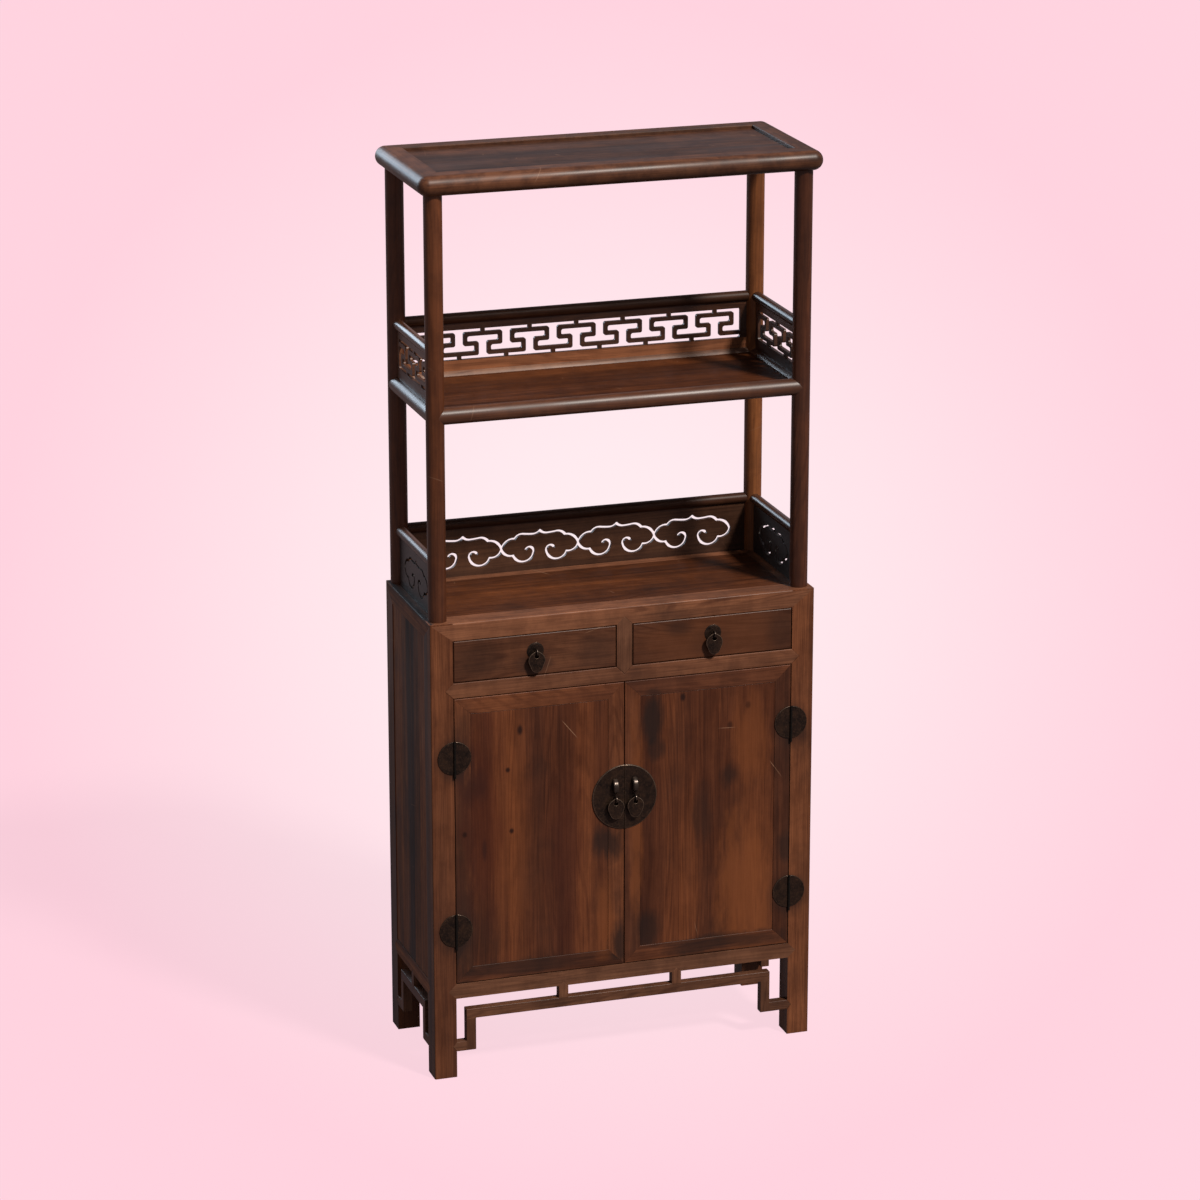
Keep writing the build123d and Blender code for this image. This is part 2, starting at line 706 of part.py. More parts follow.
# ---------------------------------------------------------------- doors
for side_name, side in sides.items():
    start, end = sorted((side * door_meeting_gap / 2, side * (inner_x - door_gap)))
    panel_start = start + door_frame_width
    panel_end = end - door_frame_width
    panel_low = door_low + door_frame_width
    panel_high = door_high - door_frame_width
    panel_front = case_front + door_panel_sink
    panel_back = panel_front + door_panel_thickness

    with BuildPart() as door_panel:
        tongued_panel((panel_start, panel_front, panel_low), (panel_end, panel_back, panel_high), 1)
    door_panel.part.label = f"door_panel_{side_name}"
    export_step(door_panel.part, f"parts/door_panel_{side_name}.step")

    with BuildPart() as door_stiles:
        with BuildSketch(front_plane):
            for outer, inner in ((start, panel_start), (end, panel_end)):
                Polygon(
                    (outer, door_low), (outer, door_high), (inner, panel_high), (inner, panel_low), align=None
                )
        extrude(amount=-door_thickness)
        long_edges = door_stiles.edges().filter_by(Axis.Z).group_by(Axis.Y)[0]
        chamfer(long_edges, length=door_edge_chamfer)
        let_in(door_panel)
    door_stiles.part.label = f"door_stiles_{side_name}"
    export_step(door_stiles.part, f"parts/door_stiles_{side_name}.step")

    with BuildPart() as door_rails:
        with BuildSketch(front_plane):
            for outer, inner in ((door_low, panel_low), (door_high, panel_high)):
                Polygon((start, outer), (end, outer), (panel_end, inner), (panel_start, inner), align=None)
        extrude(amount=-door_thickness)
        long_edges = door_rails.edges().filter_by(Axis.X).group_by(Axis.Y)[0]
        chamfer(long_edges, length=door_edge_chamfer)
        let_in(door_panel)
        for batten_low in (panel_low + batten_offset, panel_high - batten_offset - batten_height):
            block((panel_start, panel_back, batten_low), (panel_end, door_back, batten_low + batten_height))
    door_rails.part.label = f"door_rails_{side_name}"
    export_step(door_rails.part, f"parts/door_rails_{side_name}.step")

# ---------------------------------------------------------------- hinges
hinge_x = inner_x - door_gap / 2
hinge_y = case_front - hinge_standoff
hinge_heights = (door_low + hinge_insets[0], door_high - hinge_insets[1])
middle_knuckle = 2 * (hinge_radius - knuckle_end_length - knuckle_gap)
end_knuckle_offset = hinge_radius - knuckle_end_length / 2


def hinge_leaf(axis_x, height, outward, knuckles):
    """Half disc on the front face, with barrels on the pin, as (offset, length) pairs."""
    leaf_edge = axis_x + outward * hinge_slot / 2
    leaf_front = case_front - hinge_leaf_thickness
    link_start, link_end = sorted((axis_x, leaf_edge))
    for offset, length in knuckles:
        low = height + offset - length / 2
        block((link_start, hinge_y, low), (link_end, leaf_front + hinge_leaf_thickness / 2, low + length))
        with Locations((axis_x, hinge_y, height + offset)):
            Cylinder(knuckle_radius, length)
    with Locations((axis_x, hinge_y, height)):
        Cylinder(hinge_pin_radius + hinge_pin_fit, 2 * hinge_radius, mode=Mode.SUBTRACT)


end_knuckles = ((-end_knuckle_offset, knuckle_end_length), (end_knuckle_offset, knuckle_end_length))
with BuildPart() as hinge_leaves_case:
    for side in sides.values():
        for height in hinge_heights:
            with BuildSketch(front_plane):
                with Locations((side * hinge_x, height)):
                    Circle(hinge_radius)
                with Locations((side * (hinge_x + hinge_slot / 2 - hinge_radius), height)):
                    Rectangle(2 * hinge_radius, 2 * hinge_radius, mode=Mode.SUBTRACT)
            extrude(amount=hinge_leaf_thickness)
    leaf_rims = hinge_leaves_case.edges().filter_by(GeomType.CIRCLE).group_by(Axis.Y)[0]
    chamfer(leaf_rims, length=hinge_leaf_bevel)
    for side in sides.values():
        for height in hinge_heights:
            hinge_leaf(side * hinge_x, height, side, end_knuckles)
hinge_leaves_case.part.label = "hinge_leaves_case"
export_step(hinge_leaves_case.part, "parts/hinge_leaves_case.step")

for side_name, side in sides.items():
    with BuildPart() as hinge_leaves_door:
        for height in hinge_heights:
            with BuildSketch(front_plane):
                with Locations((side * hinge_x, height)):
                    Circle(hinge_radius)
                with Locations((side * (hinge_x - hinge_slot / 2 + hinge_radius), height)):
                    Rectangle(2 * hinge_radius, 2 * hinge_radius, mode=Mode.SUBTRACT)
            extrude(amount=hinge_leaf_thickness)
        leaf_rims = hinge_leaves_door.edges().filter_by(GeomType.CIRCLE).group_by(Axis.Y)[0]
        chamfer(leaf_rims, length=hinge_leaf_bevel)
        for height in hinge_heights:
            hinge_leaf(side * hinge_x, height, -side, ((0, middle_knuckle),))
    hinge_leaves_door.part.label = f"hinge_leaves_{side_name}"
    export_step(hinge_leaves_door.part, f"parts/hinge_leaves_{side_name}.step")

with BuildPart() as hinge_pins:
    for side in sides.values():
        for height in hinge_heights:
            with Locations((side * hinge_x, hinge_y, height)):
                Cylinder(hinge_pin_radius, 2 * hinge_radius)
            with Locations((side * hinge_x, hinge_y, height - hinge_radius - hinge_pin_foot / 2)):
                Cylinder(knuckle_radius, hinge_pin_foot)
hinge_pins.part.label = "hinge_pins"
export_step(hinge_pins.part, "parts/hinge_pins.step")

# ---------------------------------------------------------------- lock plates and staples
lock_front = case_front - lock_plate_thickness
staple_place = (lock_front - staple_reach + staple_height / 2, lock_height + staple_lift + staple_height / 2)
for side_name, side in sides.items():
    with BuildPart() as lock_plate:
        with BuildSketch(front_plane):
            with Locations((0, lock_height)):
                Circle(lock_radius)
            with Locations((side * (door_meeting_gap / 2 - lock_radius), lock_height)):
                Rectangle(2 * lock_radius, 2 * lock_radius, mode=Mode.SUBTRACT)
        extrude(amount=lock_plate_thickness)
        rim = lock_plate.edges().filter_by(GeomType.CIRCLE).group_by(Axis.Y)[0]
        chamfer(rim, length=lock_plate_bevel)
    lock_plate.part.label = f"lock_plate_{side_name}"
    export_step(lock_plate.part, f"parts/lock_plate_{side_name}.step")

    with BuildPart() as lock_staple:
        with BuildSketch(Plane.YZ.offset(side * fitting_offset)):
            with Locations(staple_place):
                Circle(staple_height / 2)
                Circle(staple_height / 2 - staple_bar, mode=Mode.SUBTRACT)
            with Locations((lock_front + staple_height, staple_place[1])):
                Rectangle(2 * staple_height, 2 * staple_height, mode=Mode.SUBTRACT)
        extrude(amount=staple_width / 2, both=True)
        bow_edges = lock_staple.edges().filter_by(GeomType.CIRCLE).group_by(SortBy.LENGTH)[-1]
        chamfer(bow_edges, length=staple_chamfer)
    lock_staple.part.label = f"lock_staple_{side_name}"
    export_step(lock_staple.part, f"parts/lock_staple_{side_name}.step")


# ---------------------------------------------------------------- drop pulls
# One eye, about the middle of its ring: a ring in the upright plane on a short shank
with BuildPart() as pull_eye:
    with BuildSketch(Plane.YZ):
        Circle(eye_radius + eye_wire)
        Circle(eye_radius - eye_wire, mode=Mode.SUBTRACT)
    extrude(amount=eye_wire, both=True)
    chamfer(pull_eye.edges().filter_by(GeomType.CIRCLE), length=eye_chamfer)
    with Locations(Plane((0, (eye_standoff + eye_radius) / 2, 0), z_dir=(0, 1, 0))):
        Cylinder(eye_shank_radius, eye_standoff - eye_radius)

drawer_middle = (muntin_width / 2 + inner_x) / 2
door_pull_height = lock_height - door_pull_drop
drawer_pull_height = drawer_rail_top + drawer_pull_lift
for side_name, side in sides.items():
    with BuildPart() as door_eye:
        with Locations((side * fitting_offset, lock_front - eye_standoff, door_pull_height)):
            add(pull_eye.part)
    door_eye.part.label = f"door_eye_{side_name}"
    export_step(door_eye.part, f"parts/door_eye_{side_name}.step")

    with BuildPart() as drawer_pull_plate:
        with BuildSketch(front_plane):
            with Locations((side * drawer_middle, drawer_pull_height)):
                Circle(pull_plate_radius)
        extrude(amount=pull_plate_thickness)
        plate_face = drawer_pull_plate.faces().sort_by(Axis.Y)[0]
        plate_rise = pull_plate_thickness - pull_plate_rim
        chamfer(plate_face.edges(), length=pull_plate_bevel, length2=plate_rise, reference=plate_face)
        eye_y = case_front - pull_plate_thickness - eye_standoff
        with Locations((side * drawer_middle, eye_y, drawer_pull_height)):
            add(pull_eye.part)
    drawer_pull_plate.part.label = f"drawer_pull_plate_{side_name}"
    export_step(drawer_pull_plate.part, f"parts/drawer_pull_plate_{side_name}.step")

# Each pendant hangs by the web above its hole, in the middle of the ring
pendant_places = {
    "door_left": (-fitting_offset, lock_front, door_pull_height),
    "door_right": (fitting_offset, lock_front, door_pull_height),
    "drawer_left": (-drawer_middle, case_front - pull_plate_thickness, drawer_pull_height),
    "drawer_right": (drawer_middle, case_front - pull_plate_thickness, drawer_pull_height),
}
hole_drop = pendant_web / 2 + pendant_hole_radius
for place_name, (pendant_x, plate_front, pendant_z) in pendant_places.items():
    with BuildPart() as pendant:
        with BuildSketch(Plane.XZ.offset(eye_standoff - plate_front)):
            with Locations((pendant_x, pendant_z)):
                Circle(pendant_web / 2)
            with Locations((pendant_x, pendant_z - pendant_shoulder_drop)):
                Circle(pendant_shoulder_radius)
            with Locations((pendant_x, pendant_z - pendant_drop + pendant_tip_radius)):
                Circle(pendant_tip_radius)
            make_hull()
        extrude(amount=pendant_thickness / 2, both=True)
        outline = pendant.faces().filter_by(Axis.Y).edges()
        chamfer(outline, length=pendant_chamfer)
        with BuildSketch(Plane.XZ.offset(eye_standoff - plate_front)):
            with Locations((pendant_x, pendant_z - hole_drop)):
                Circle(pendant_hole_radius)
        extrude(amount=pendant_thickness, both=True, mode=Mode.SUBTRACT)
    pendant.part.label = f"pendant_{place_name}"
    export_step(pendant.part, f"parts/pendant_{place_name}.step")

# ---------------------------------------------------------------- drawers
front_low = drawer_rail_top + drawer_gap
front_high = top_rail_low - drawer_gap
box_low = drawer_rail_top + drawer_running_gap
box_front = case_front + drawer_front_thickness
box_back = lining_back - drawer_back_gap
for side_name, side in sides.items():
    start, end = sorted((side * (muntin_width / 2 + drawer_gap), side * (inner_x - drawer_gap)))

    with BuildPart() as drawer_front:
        block((start, case_front, front_low), (end, box_front, front_high))
        fillet(drawer_front.faces().sort_by(Axis.Y)[0].edges(), radius=drawer_edge_radius)
    drawer_front.part.label = f"drawer_front_{side_name}"
    export_step(drawer_front.part, f"parts/drawer_front_{side_name}.step")

    with BuildPart() as drawer_box:
        block((start, box_front, box_low), (end, box_back, box_low + drawer_side_height))
        block(
            (start + drawer_wall, box_front, box_low + drawer_bottom_lift + drawer_bottom_thickness),
            (end - drawer_wall, box_back - drawer_wall, box_low + drawer_side_height),
            Mode.SUBTRACT,
        )
        block(
            (start + drawer_wall, box_front, box_low),
            (end - drawer_wall, box_back, box_low + drawer_bottom_lift),
            Mode.SUBTRACT,
        )
    drawer_box.part.label = f"drawer_box_{side_name}"
    export_step(drawer_box.part, f"parts/drawer_box_{side_name}.step")
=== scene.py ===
"""Dresses a two-tier book cabinet: dark lacquered wood, iron fittings and a pale studio."""

import json
import logging
import math
from collections.abc import Callable, Iterable
from dataclasses import dataclass
from enum import Enum

import bmesh
import bpy
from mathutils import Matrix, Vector

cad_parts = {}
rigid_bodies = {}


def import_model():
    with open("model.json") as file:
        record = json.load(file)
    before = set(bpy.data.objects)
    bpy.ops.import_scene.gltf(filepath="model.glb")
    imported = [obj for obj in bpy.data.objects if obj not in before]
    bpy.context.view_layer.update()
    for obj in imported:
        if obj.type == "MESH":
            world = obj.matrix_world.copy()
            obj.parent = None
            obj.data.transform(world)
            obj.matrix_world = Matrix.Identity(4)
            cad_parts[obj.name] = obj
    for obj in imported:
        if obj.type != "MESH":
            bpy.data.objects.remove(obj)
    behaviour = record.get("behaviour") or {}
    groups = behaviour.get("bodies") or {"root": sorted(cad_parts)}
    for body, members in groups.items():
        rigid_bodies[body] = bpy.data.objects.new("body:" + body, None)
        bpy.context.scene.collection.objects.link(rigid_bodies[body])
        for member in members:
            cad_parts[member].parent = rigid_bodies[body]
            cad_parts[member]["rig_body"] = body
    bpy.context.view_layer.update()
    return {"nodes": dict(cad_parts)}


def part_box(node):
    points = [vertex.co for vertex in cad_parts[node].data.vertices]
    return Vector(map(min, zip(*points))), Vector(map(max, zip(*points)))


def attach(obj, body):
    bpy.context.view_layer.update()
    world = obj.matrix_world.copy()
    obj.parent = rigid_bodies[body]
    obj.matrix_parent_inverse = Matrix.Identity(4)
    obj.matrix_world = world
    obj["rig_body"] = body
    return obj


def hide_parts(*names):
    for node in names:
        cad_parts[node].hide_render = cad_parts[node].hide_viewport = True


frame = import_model()

log = logging.getLogger("cabinet")
MM = 0.001
Socket = bpy.types.NodeSocket
Triple = tuple[float, float, float]
Colour = tuple[float, float, float, float]
Sorter = Callable[[Vector], int]

UP = Vector((0, 0, 1))
WELD_REACH = 0.01 * MM
FLAT_ANGLE = math.radians(0.6)
CREASE_ANGLE = math.radians(38)


def paint(red: int, green: int, blue: int) -> Colour:
    """Turn a display colour into the linear one that a shader takes.

    Args:
        red: Red, 0 to 255.
        green: Green, 0 to 255.
        blue: Blue, 0 to 255.

    Returns:
        The linear colour with full alpha.
    """
    linear = []
    for value in (red / 255, green / 255, blue / 255):
        linear.append(value / 12.92 if value <= 0.04045 else ((value + 0.055) / 1.055) ** 2.4)
    return (linear[0], linear[1], linear[2], 1.0)


def put(name: str, data: bpy.types.ID) -> bpy.types.Object:
    """Put a new object in the scene.

    Args:
        name: Name of the object.
        data: Its mesh, light or camera.

    Returns:
        The new object.
    """
    item = bpy.data.objects.new(name, data)
    bpy.context.scene.collection.objects.link(item)
    return item


def turn_back(item: bpy.types.Object, back: Vector) -> None:
    """Turn a lamp or a camera so that its back points along a direction."""
    item.rotation_mode = "QUATERNION"
    item.rotation_quaternion = back.to_track_quat("Z", "Y")


class Grain(Enum):
    """Direction in which the grain of a board runs, as the order of its coordinates."""

    ALONG_X = ("Z", "Y", "X")
    ALONG_Y = ("X", "Z", "Y")
    ALONG_Z = ("X", "Y", "Z")


@dataclass(frozen=True)
class Layer:
    """Noise, with its cells in a metre of each axis, its finer layers and their strength."""

    cells: Triple
    detail: float
    rough: float = 0.5


class Bench:
    """Node tree of one material or world, with short ways to add and join its nodes."""

    def __init__(self, name: str, tree: bpy.types.NodeTree | None = None) -> None:
        """Start an empty tree.

        Args:
            name: Name of the new material, where no tree is given.
            tree: Tree of a world to work in instead.
        """
        if tree is None:
            self.material = bpy.data.materials.new(name)
            self.material.use_nodes = True
            tree = self.material.node_tree
        self.tree = tree
        self.tree.nodes.clear()

    def add(self, kind: str, inputs: dict | None = None, **settings) -> bpy.types.Node:
        """Add a node, set its properties and fill its sockets.

        Args:
            kind: Type name of the node.
            inputs: Value or output socket for each input, by name or number.
            **settings: Properties of the node itself.

        Returns:
            The new node.
        """
        node = self.tree.nodes.new(kind)
        for key, value in settings.items():
            setattr(node, key, value)
        for key, value in (inputs or {}).items():
            if isinstance(value, Socket):
                self.tree.links.new(value, node.inputs[key])
            else:
                node.inputs[key].default_value = value
        return node

    def place(self) -> Socket:
        """Give the coordinates in the cabinet."""
        return self.add("ShaderNodeTexCoord").outputs["Object"]

    def math(self, operation: str, first: Socket | float, second: Socket | float = 0.0) -> Socket:
        """Work out one number from two."""
        return self.add("ShaderNodeMath", {0: first, 1: second}, operation=operation).outputs[0]

    def vector(
        self, operation: str, first: Socket, second: Socket | Triple = (0.0, 0.0, 0.0)
    ) -> Socket:
        """Work out one vector from two, or the number that a length or a dot product gives."""
        node = self.add("ShaderNodeVectorMath", {0: first, 1: second}, operation=operation)
        return node.outputs["Value" if operation in ("LENGTH", "DOT_PRODUCT") else "Vector"]

    def parts(self, colour: Socket) -> bpy.types.NodeOutputs:
        """Split a colour into its three numbers."""
        return self.add("ShaderNodeSeparateColor", {0: colour}).outputs

    def noise(self, vector: Socket, layer: Layer, output: str = "Fac") -> Socket:
        """Make one layer of noise.

        Args:
            vector: Coordinates to read.
            layer: Its cells and their roughness.
            output: Name of the output, a number or a colour.

        Returns:
            The noise, about 0.5 on average.
        """
        cells = self.vector("MULTIPLY", vector, layer.cells)
        inputs = {"Vector": cells, "Scale": 1.0, "Detail": layer.detail, "Roughness": layer.rough}
        return self.add("ShaderNodeTexNoise", inputs).outputs[output]

    def rise(
        self, value: Socket, low: float, high: float, start: float = 0.0, end: float = 1.0
    ) -> Socket:
        """Turn the span from low to high into a smooth rise from start to end."""
        inputs = {"Value": value, "From Min": low, "From Max": high, "To Min": start, "To Max": end}
        return self.add("ShaderNodeMapRange", inputs, interpolation_type="SMOOTHSTEP").outputs[0]

    def blend(
        self, share: Socket | float, under: Socket, over: Socket | Colour, mode: str = "MIX"
    ) -> Socket:
        """Lay a colour over another, as far as the share says and mixed in the way of the mode."""
        inputs = {0: share, 6: under, 7: over}
        return self.add("ShaderNodeMix", inputs, data_type="RGBA", blend_type=mode).outputs[2]

    def darken(self, share: Socket | float, colour: Socket, tint: Colour) -> Socket:
        """Multiply a colour by a tint, as far as the share says."""
        return self.blend(share, colour, self.blend(1.0, colour, tint, "MULTIPLY"))

    def ramp(self, value: Socket, stops: Iterable[tuple[float, Colour]]) -> Socket:
        """Read a colour from a row of stops.

        Args:
            value: Where to read it.
            stops: Place and colour of each stop.

        Returns:
            The colour.
        """
        node = self.add("ShaderNodeValToRGB", {"Fac": value})
        elements = node.color_ramp.elements
        for index, (place, colour) in enumerate(stops):
            element = elements[index] if index < 2 else elements.new(place)
            element.position = place
            element.color = colour
        return node.outputs["Color"]

    def finish(self, inputs: dict) -> bpy.types.Material:
        """Close the tree with one shader.

        Args:
            inputs: Value or output socket for each input of the shader.

        Returns:
            The material.
        """
        shader = self.add("ShaderNodeBsdfPrincipled", inputs)
        self.add("ShaderNodeOutputMaterial", {"Surface": shader.outputs[0]})
        return self.material


# Layers of noise in wood and iron. In the first seven the third axis runs along the grain.
SWAY = Layer((5, 5, 1.2), 2.0)
BANDS = Layer((48, 48, 0.8), 3.0, 0.6)
LINES = Layer((150, 150, 1.8), 4.0, 0.62)
FIBRES = Layer((430, 430, 8), 3.0, 0.6)
RINGS = Layer((6, 6, 0.6), 2.5)
SHINE = Layer((14, 14, 3), 3.0)
RAGGED = Layer((34, 34, 9), 4.0, 0.62)
MOTTLE = Layer((24, 24, 17), 5.0, 0.68)
GRIME = Layer((9, 9, 6), 4.0, 0.6)
PATINA = Layer((60, 60, 60), 5.0, 0.65)
SPOTS = Layer((420, 420, 420), 3.0, 0.6)
SLIT_SHADE_SPOTS = Layer((300, 300, 300), 3.0, 0.6)

SEED_STEPS = (1.0, 1.7, 0.6)
SWAY_REACH = (0.03, 0.03, 0.0)
RING_TURNS = 260.0
KNOT_CELLS = (9, 9, 4.5)
SHORT_SHIFT = (1.03, 0.97, 1.01)
SCRATCH_CORE = 0.3 * MM
SCRATCH_RIM = 0.9 * MM

RING_TINT = (0.42, 0.36, 0.36, 1.0)
LINE_TINT = (0.48, 0.42, 0.41, 1.0)
FIBRE_TINT = (0.50, 0.46, 0.46, 1.0)
MOTTLE_TINT = (0.46, 0.42, 0.42, 1.0)
KNOT = paint(30, 14, 10)
KNOT_CORE = paint(32, 15, 11)
RUBBED = paint(126, 70, 38)
RED_SHADE = paint(70, 30, 20)


@dataclass(frozen=True)
class Marks:
    """Scatter of straight marks: cells in a metre, half a mark in metres, share of bare cells."""

    cells: float
    reach: float
    rarity: float


LONG_SCRATCHES = Marks(7.0, 0.028, 0.50)
SHORT_SCRATCHES = Marks(19.0, 0.009, 0.66)
SPECKS = Marks(60.0, 0.0012, 0.90)


@dataclass(frozen=True)
class Smudge:
    """Soft patch on the front, in mm: grime, painted shade by hinge plates, a knot or a rubbed
    place.
    """

    x: float
    z: float
    half_width: float
    half_height: float
    depth: float = 0.7
    colour: Colour | None = None
    ragged: float = 1.5
    front: float = -154.0
    half_depth: float = 120.0

    @property
    def centre(self) -> Triple:
        """Place of its middle."""
        return (self.x * MM, self.front * MM, self.z * MM)

    @property
    def reach(self) -> Triple:
        """How far it fades out along each axis."""
        return (self.half_width * MM, self.half_depth * MM, self.half_height * MM)


@dataclass(frozen=True)
class Wood:
    """Lacquered softwood with zones, bands, flame figure, knots, smudges and scratches."""

    name: str
    dark: Colour
    body: Colour
    warm: Colour
    zones: Triple = (6.0, 6.0, 0.8)
    bands: float = 0.36
    figure: float = 0.55
    streaks: float = 0.5
    mottle: float = 0.45
    knots: float = 0.0
    scratches: float = 0.35
    grime: float = 0.45
    roughness: float = 0.42
    gloss: float = 0.22
    relief_strength: float = 0.25
    relief_depth: float = 0.08
    grime_and_shade_colour: Colour = paint(34, 24, 21)
    scratch_colour: Colour = paint(150, 112, 88)

    def material(
        self, grain: Grain, seed: float = 0.0, smudges: Iterable[Smudge] = ()
    ) -> bpy.types.Material:
        """Make the material of one board.

        Args:
            grain: Direction of the grain.
            seed: Shift that gives each board its own figure.
            smudges: Dark patches on this board.

        Returns:
            The material.
        """
        bench = Bench(f"{self.name}_{grain.name.lower()}_{seed:g}")
        place = bench.place()
        board = self._board(bench, place, grain, seed)
        colour, relief = self._timber(bench, board)
        colour, relief = self._knots(bench, board, colour, relief)
        colour = self._soil(bench, place, board, colour, smudges)
        colour, relief = self._wear(bench, place, colour, relief)
        shine = bench.noise(board, SHINE)
        height = {"Distance": self.relief_depth * MM, "Height": relief}
        bump = bench.add("ShaderNodeBump", {"Strength": self.relief_strength, **height})
        return bench.finish({
            "Base Color": colour,
            "Roughness": bench.rise(shine, 0.3, 0.7, self.roughness - 0.07, self.roughness + 0.1),
            "Specular IOR Level": self.gloss,
            "Normal": bump.outputs[0],
        })

    def _board(self, bench: Bench, place: Socket, grain: Grain, seed: float) -> Socket:
        """Turn, shift and sway the coordinates, so that the grain runs along the third.

        Args:
            bench: Tree to add to.
            place: Coordinates in the cabinet.
            grain: Direction of the grain.
            seed: Shift of this board.

        Returns:
            The coordinates in the board.
        """
        axes = bench.add("ShaderNodeSeparateXYZ", {0: place}).outputs
        order = {index: axes[axis] for index, axis in enumerate(grain.value)}
        turned = bench.add("ShaderNodeCombineXYZ", order).outputs[0]
        shift = tuple(seed * step for step in SEED_STEPS)
        board = bench.add("ShaderNodeMapping", {"Vector": turned, "Location": shift}).outputs[0]
        sway = bench.vector("SUBTRACT", bench.noise(board, SWAY, "Color"), (0.5, 0.5, 0.5))
        return bench.vector("ADD", board, bench.vector("MULTIPLY", sway, SWAY_REACH))

    def _timber(self, bench: Bench, board: Socket) -> tuple[Socket, Socket]:
        """Lay the zones, the bands, the flame figure and the fine streaks of the timber.

        Args:
            bench: Tree to add to.
            board: Coordinates in the board, the grain along the third.

        Returns:
            The colour, and the relief that goes with it.
        """
        zones = bench.noise(board, Layer(self.zones, 2.0))
        bands = bench.noise(board, BANDS)
        fibres = bench.noise(board, FIBRES)
        drift = bench.math("MULTIPLY", bench.math("SUBTRACT", bands, 0.5), self.bands)
        stops = ((0.33, self.dark), (0.50, self.body), (0.68, self.warm))
        colour = bench.ramp(bench.math("ADD", zones, drift), stops)
        rings = bench.math("SINE", bench.math("MULTIPLY", bench.noise(board, RINGS), RING_TURNS))
        share = bench.rise(bands, 0.42, 0.62, 0.15, 1.0)
        rings = bench.math("MULTIPLY", bench.rise(rings, 0.1, 1.0), share)
        shade = bench.math("MULTIPLY", rings, self.figure)
        colour = bench.darken(shade, colour, RING_TINT)
        lines = bench.rise(bench.noise(board, LINES), 0.36, 0.58, 0.6 * self.streaks, 0.0)
        colour = bench.darken(lines, colour, LINE_TINT)
        colour = bench.darken(bench.rise(fibres, 0.36, 0.60, self.streaks, 0.0), colour, FIBRE_TINT)
        return colour, bench.math("SUBTRACT", fibres, bench.math("MULTIPLY", shade, 0.3))

    def _knots(
        self, bench: Bench, board: Socket, colour: Socket, relief: Socket
    ) -> tuple[Socket, Socket]:
        """Scatter small dark knots, where the timber has them.

        Args:
            bench: Tree to add to.
            board: Coordinates in the board.
            colour: Colour so far.
            relief: Relief so far.

        Returns:
            The colour and the relief with the knots.
        """
        if not self.knots:
            return colour, relief
        inputs = {"Vector": bench.vector("MULTIPLY", board, KNOT_CELLS), "Scale": 1.0}
        cells = bench.add("ShaderNodeTexVoronoi", inputs).outputs
        away = cells["Distance"]
        rare = bench.rise(bench.parts(cells["Color"])[0], 1 - self.knots, 1.04 - self.knots)
        core = bench.math("MULTIPLY", bench.rise(away, 0.02, 0.09, 0.85, 0.0), rare)
        halo = bench.math("MULTIPLY", bench.rise(away, 0.04, 0.34, 0.4, 0.0), rare)
        colour = bench.blend(halo, colour, self.dark)
        return bench.blend(core, colour, KNOT_CORE), bench.math("SUBTRACT", relief, core)

    def _soil(
        self, bench: Bench, place: Socket, board: Socket, colour: Socket, smudges: Iterable[Smudge]
    ) -> Socket:
        """Lay general grime and the smudges over the colour, which on the side and shaded leg woods
        is partly painted shade.

        Args:
            bench: Tree to add to.
            place: Coordinates in the cabinet.
            board: Coordinates in the board.
            colour: Colour so far.
            smudges: The dark patches.

        Returns:
            The soiled colour.
        """
        mottle = bench.rise(bench.noise(place, MOTTLE), 0.36, 0.66, 0.0, self.mottle)
        colour = bench.darken(mottle, colour, MOTTLE_TINT)
        grime = bench.rise(bench.noise(place, GRIME), 0.50, 0.78, 0.0, self.grime)
        colour = bench.blend(grime, colour, self.grime_and_shade_colour)
        smudges = tuple(smudges)
        ragged = bench.math("SUBTRACT", bench.noise(board, RAGGED), 0.5) if smudges else None
        for smudge in smudges:
            inputs = {"Vector": place, "Location": smudge.centre, "Scale": smudge.reach}
            ball = bench.add("ShaderNodeMapping", inputs, vector_type="TEXTURE").outputs[0]
            fade = bench.add("ShaderNodeTexGradient", {0: ball}, gradient_type="SPHERICAL")
            fade = fade.outputs["Fac"]
            drift = bench.math("MULTIPLY", ragged, smudge.ragged)
            share = bench.rise(bench.math("ADD", fade, drift), 0.05, 0.75, 0.0, smudge.depth)
            share = bench.math("MULTIPLY", share, bench.rise(fade, 0.0, 0.2))
            colour = bench.blend(share, colour, smudge.colour or self.grime_and_shade_colour)
        return colour

    def _wear(
        self, bench: Bench, place: Socket, colour: Socket, relief: Socket
    ) -> tuple[Socket, Socket]:
        """Draw sparse pale scratches, long and short, and a few specks.

        Args:
            bench: Tree to add to.
            place: Coordinates in the cabinet.
            colour: Colour so far.
            relief: Relief so far.

        Returns:
            The worn colour and its relief.
        """
        shifted = bench.vector("MULTIPLY", place, SHORT_SHIFT)
        long = self._marks(bench, place, LONG_SCRATCHES)
        short = self._marks(bench, shifted, SHORT_SCRATCHES)
        specks = self._marks(bench, place, SPECKS)
        total = bench.math("MAXIMUM", bench.math("MAXIMUM", long, short), specks)
        share = bench.math("MULTIPLY", total, self.scratches)
        colour = bench.blend(share, colour, self.scratch_colour)
        return colour, bench.math("SUBTRACT", relief, share)

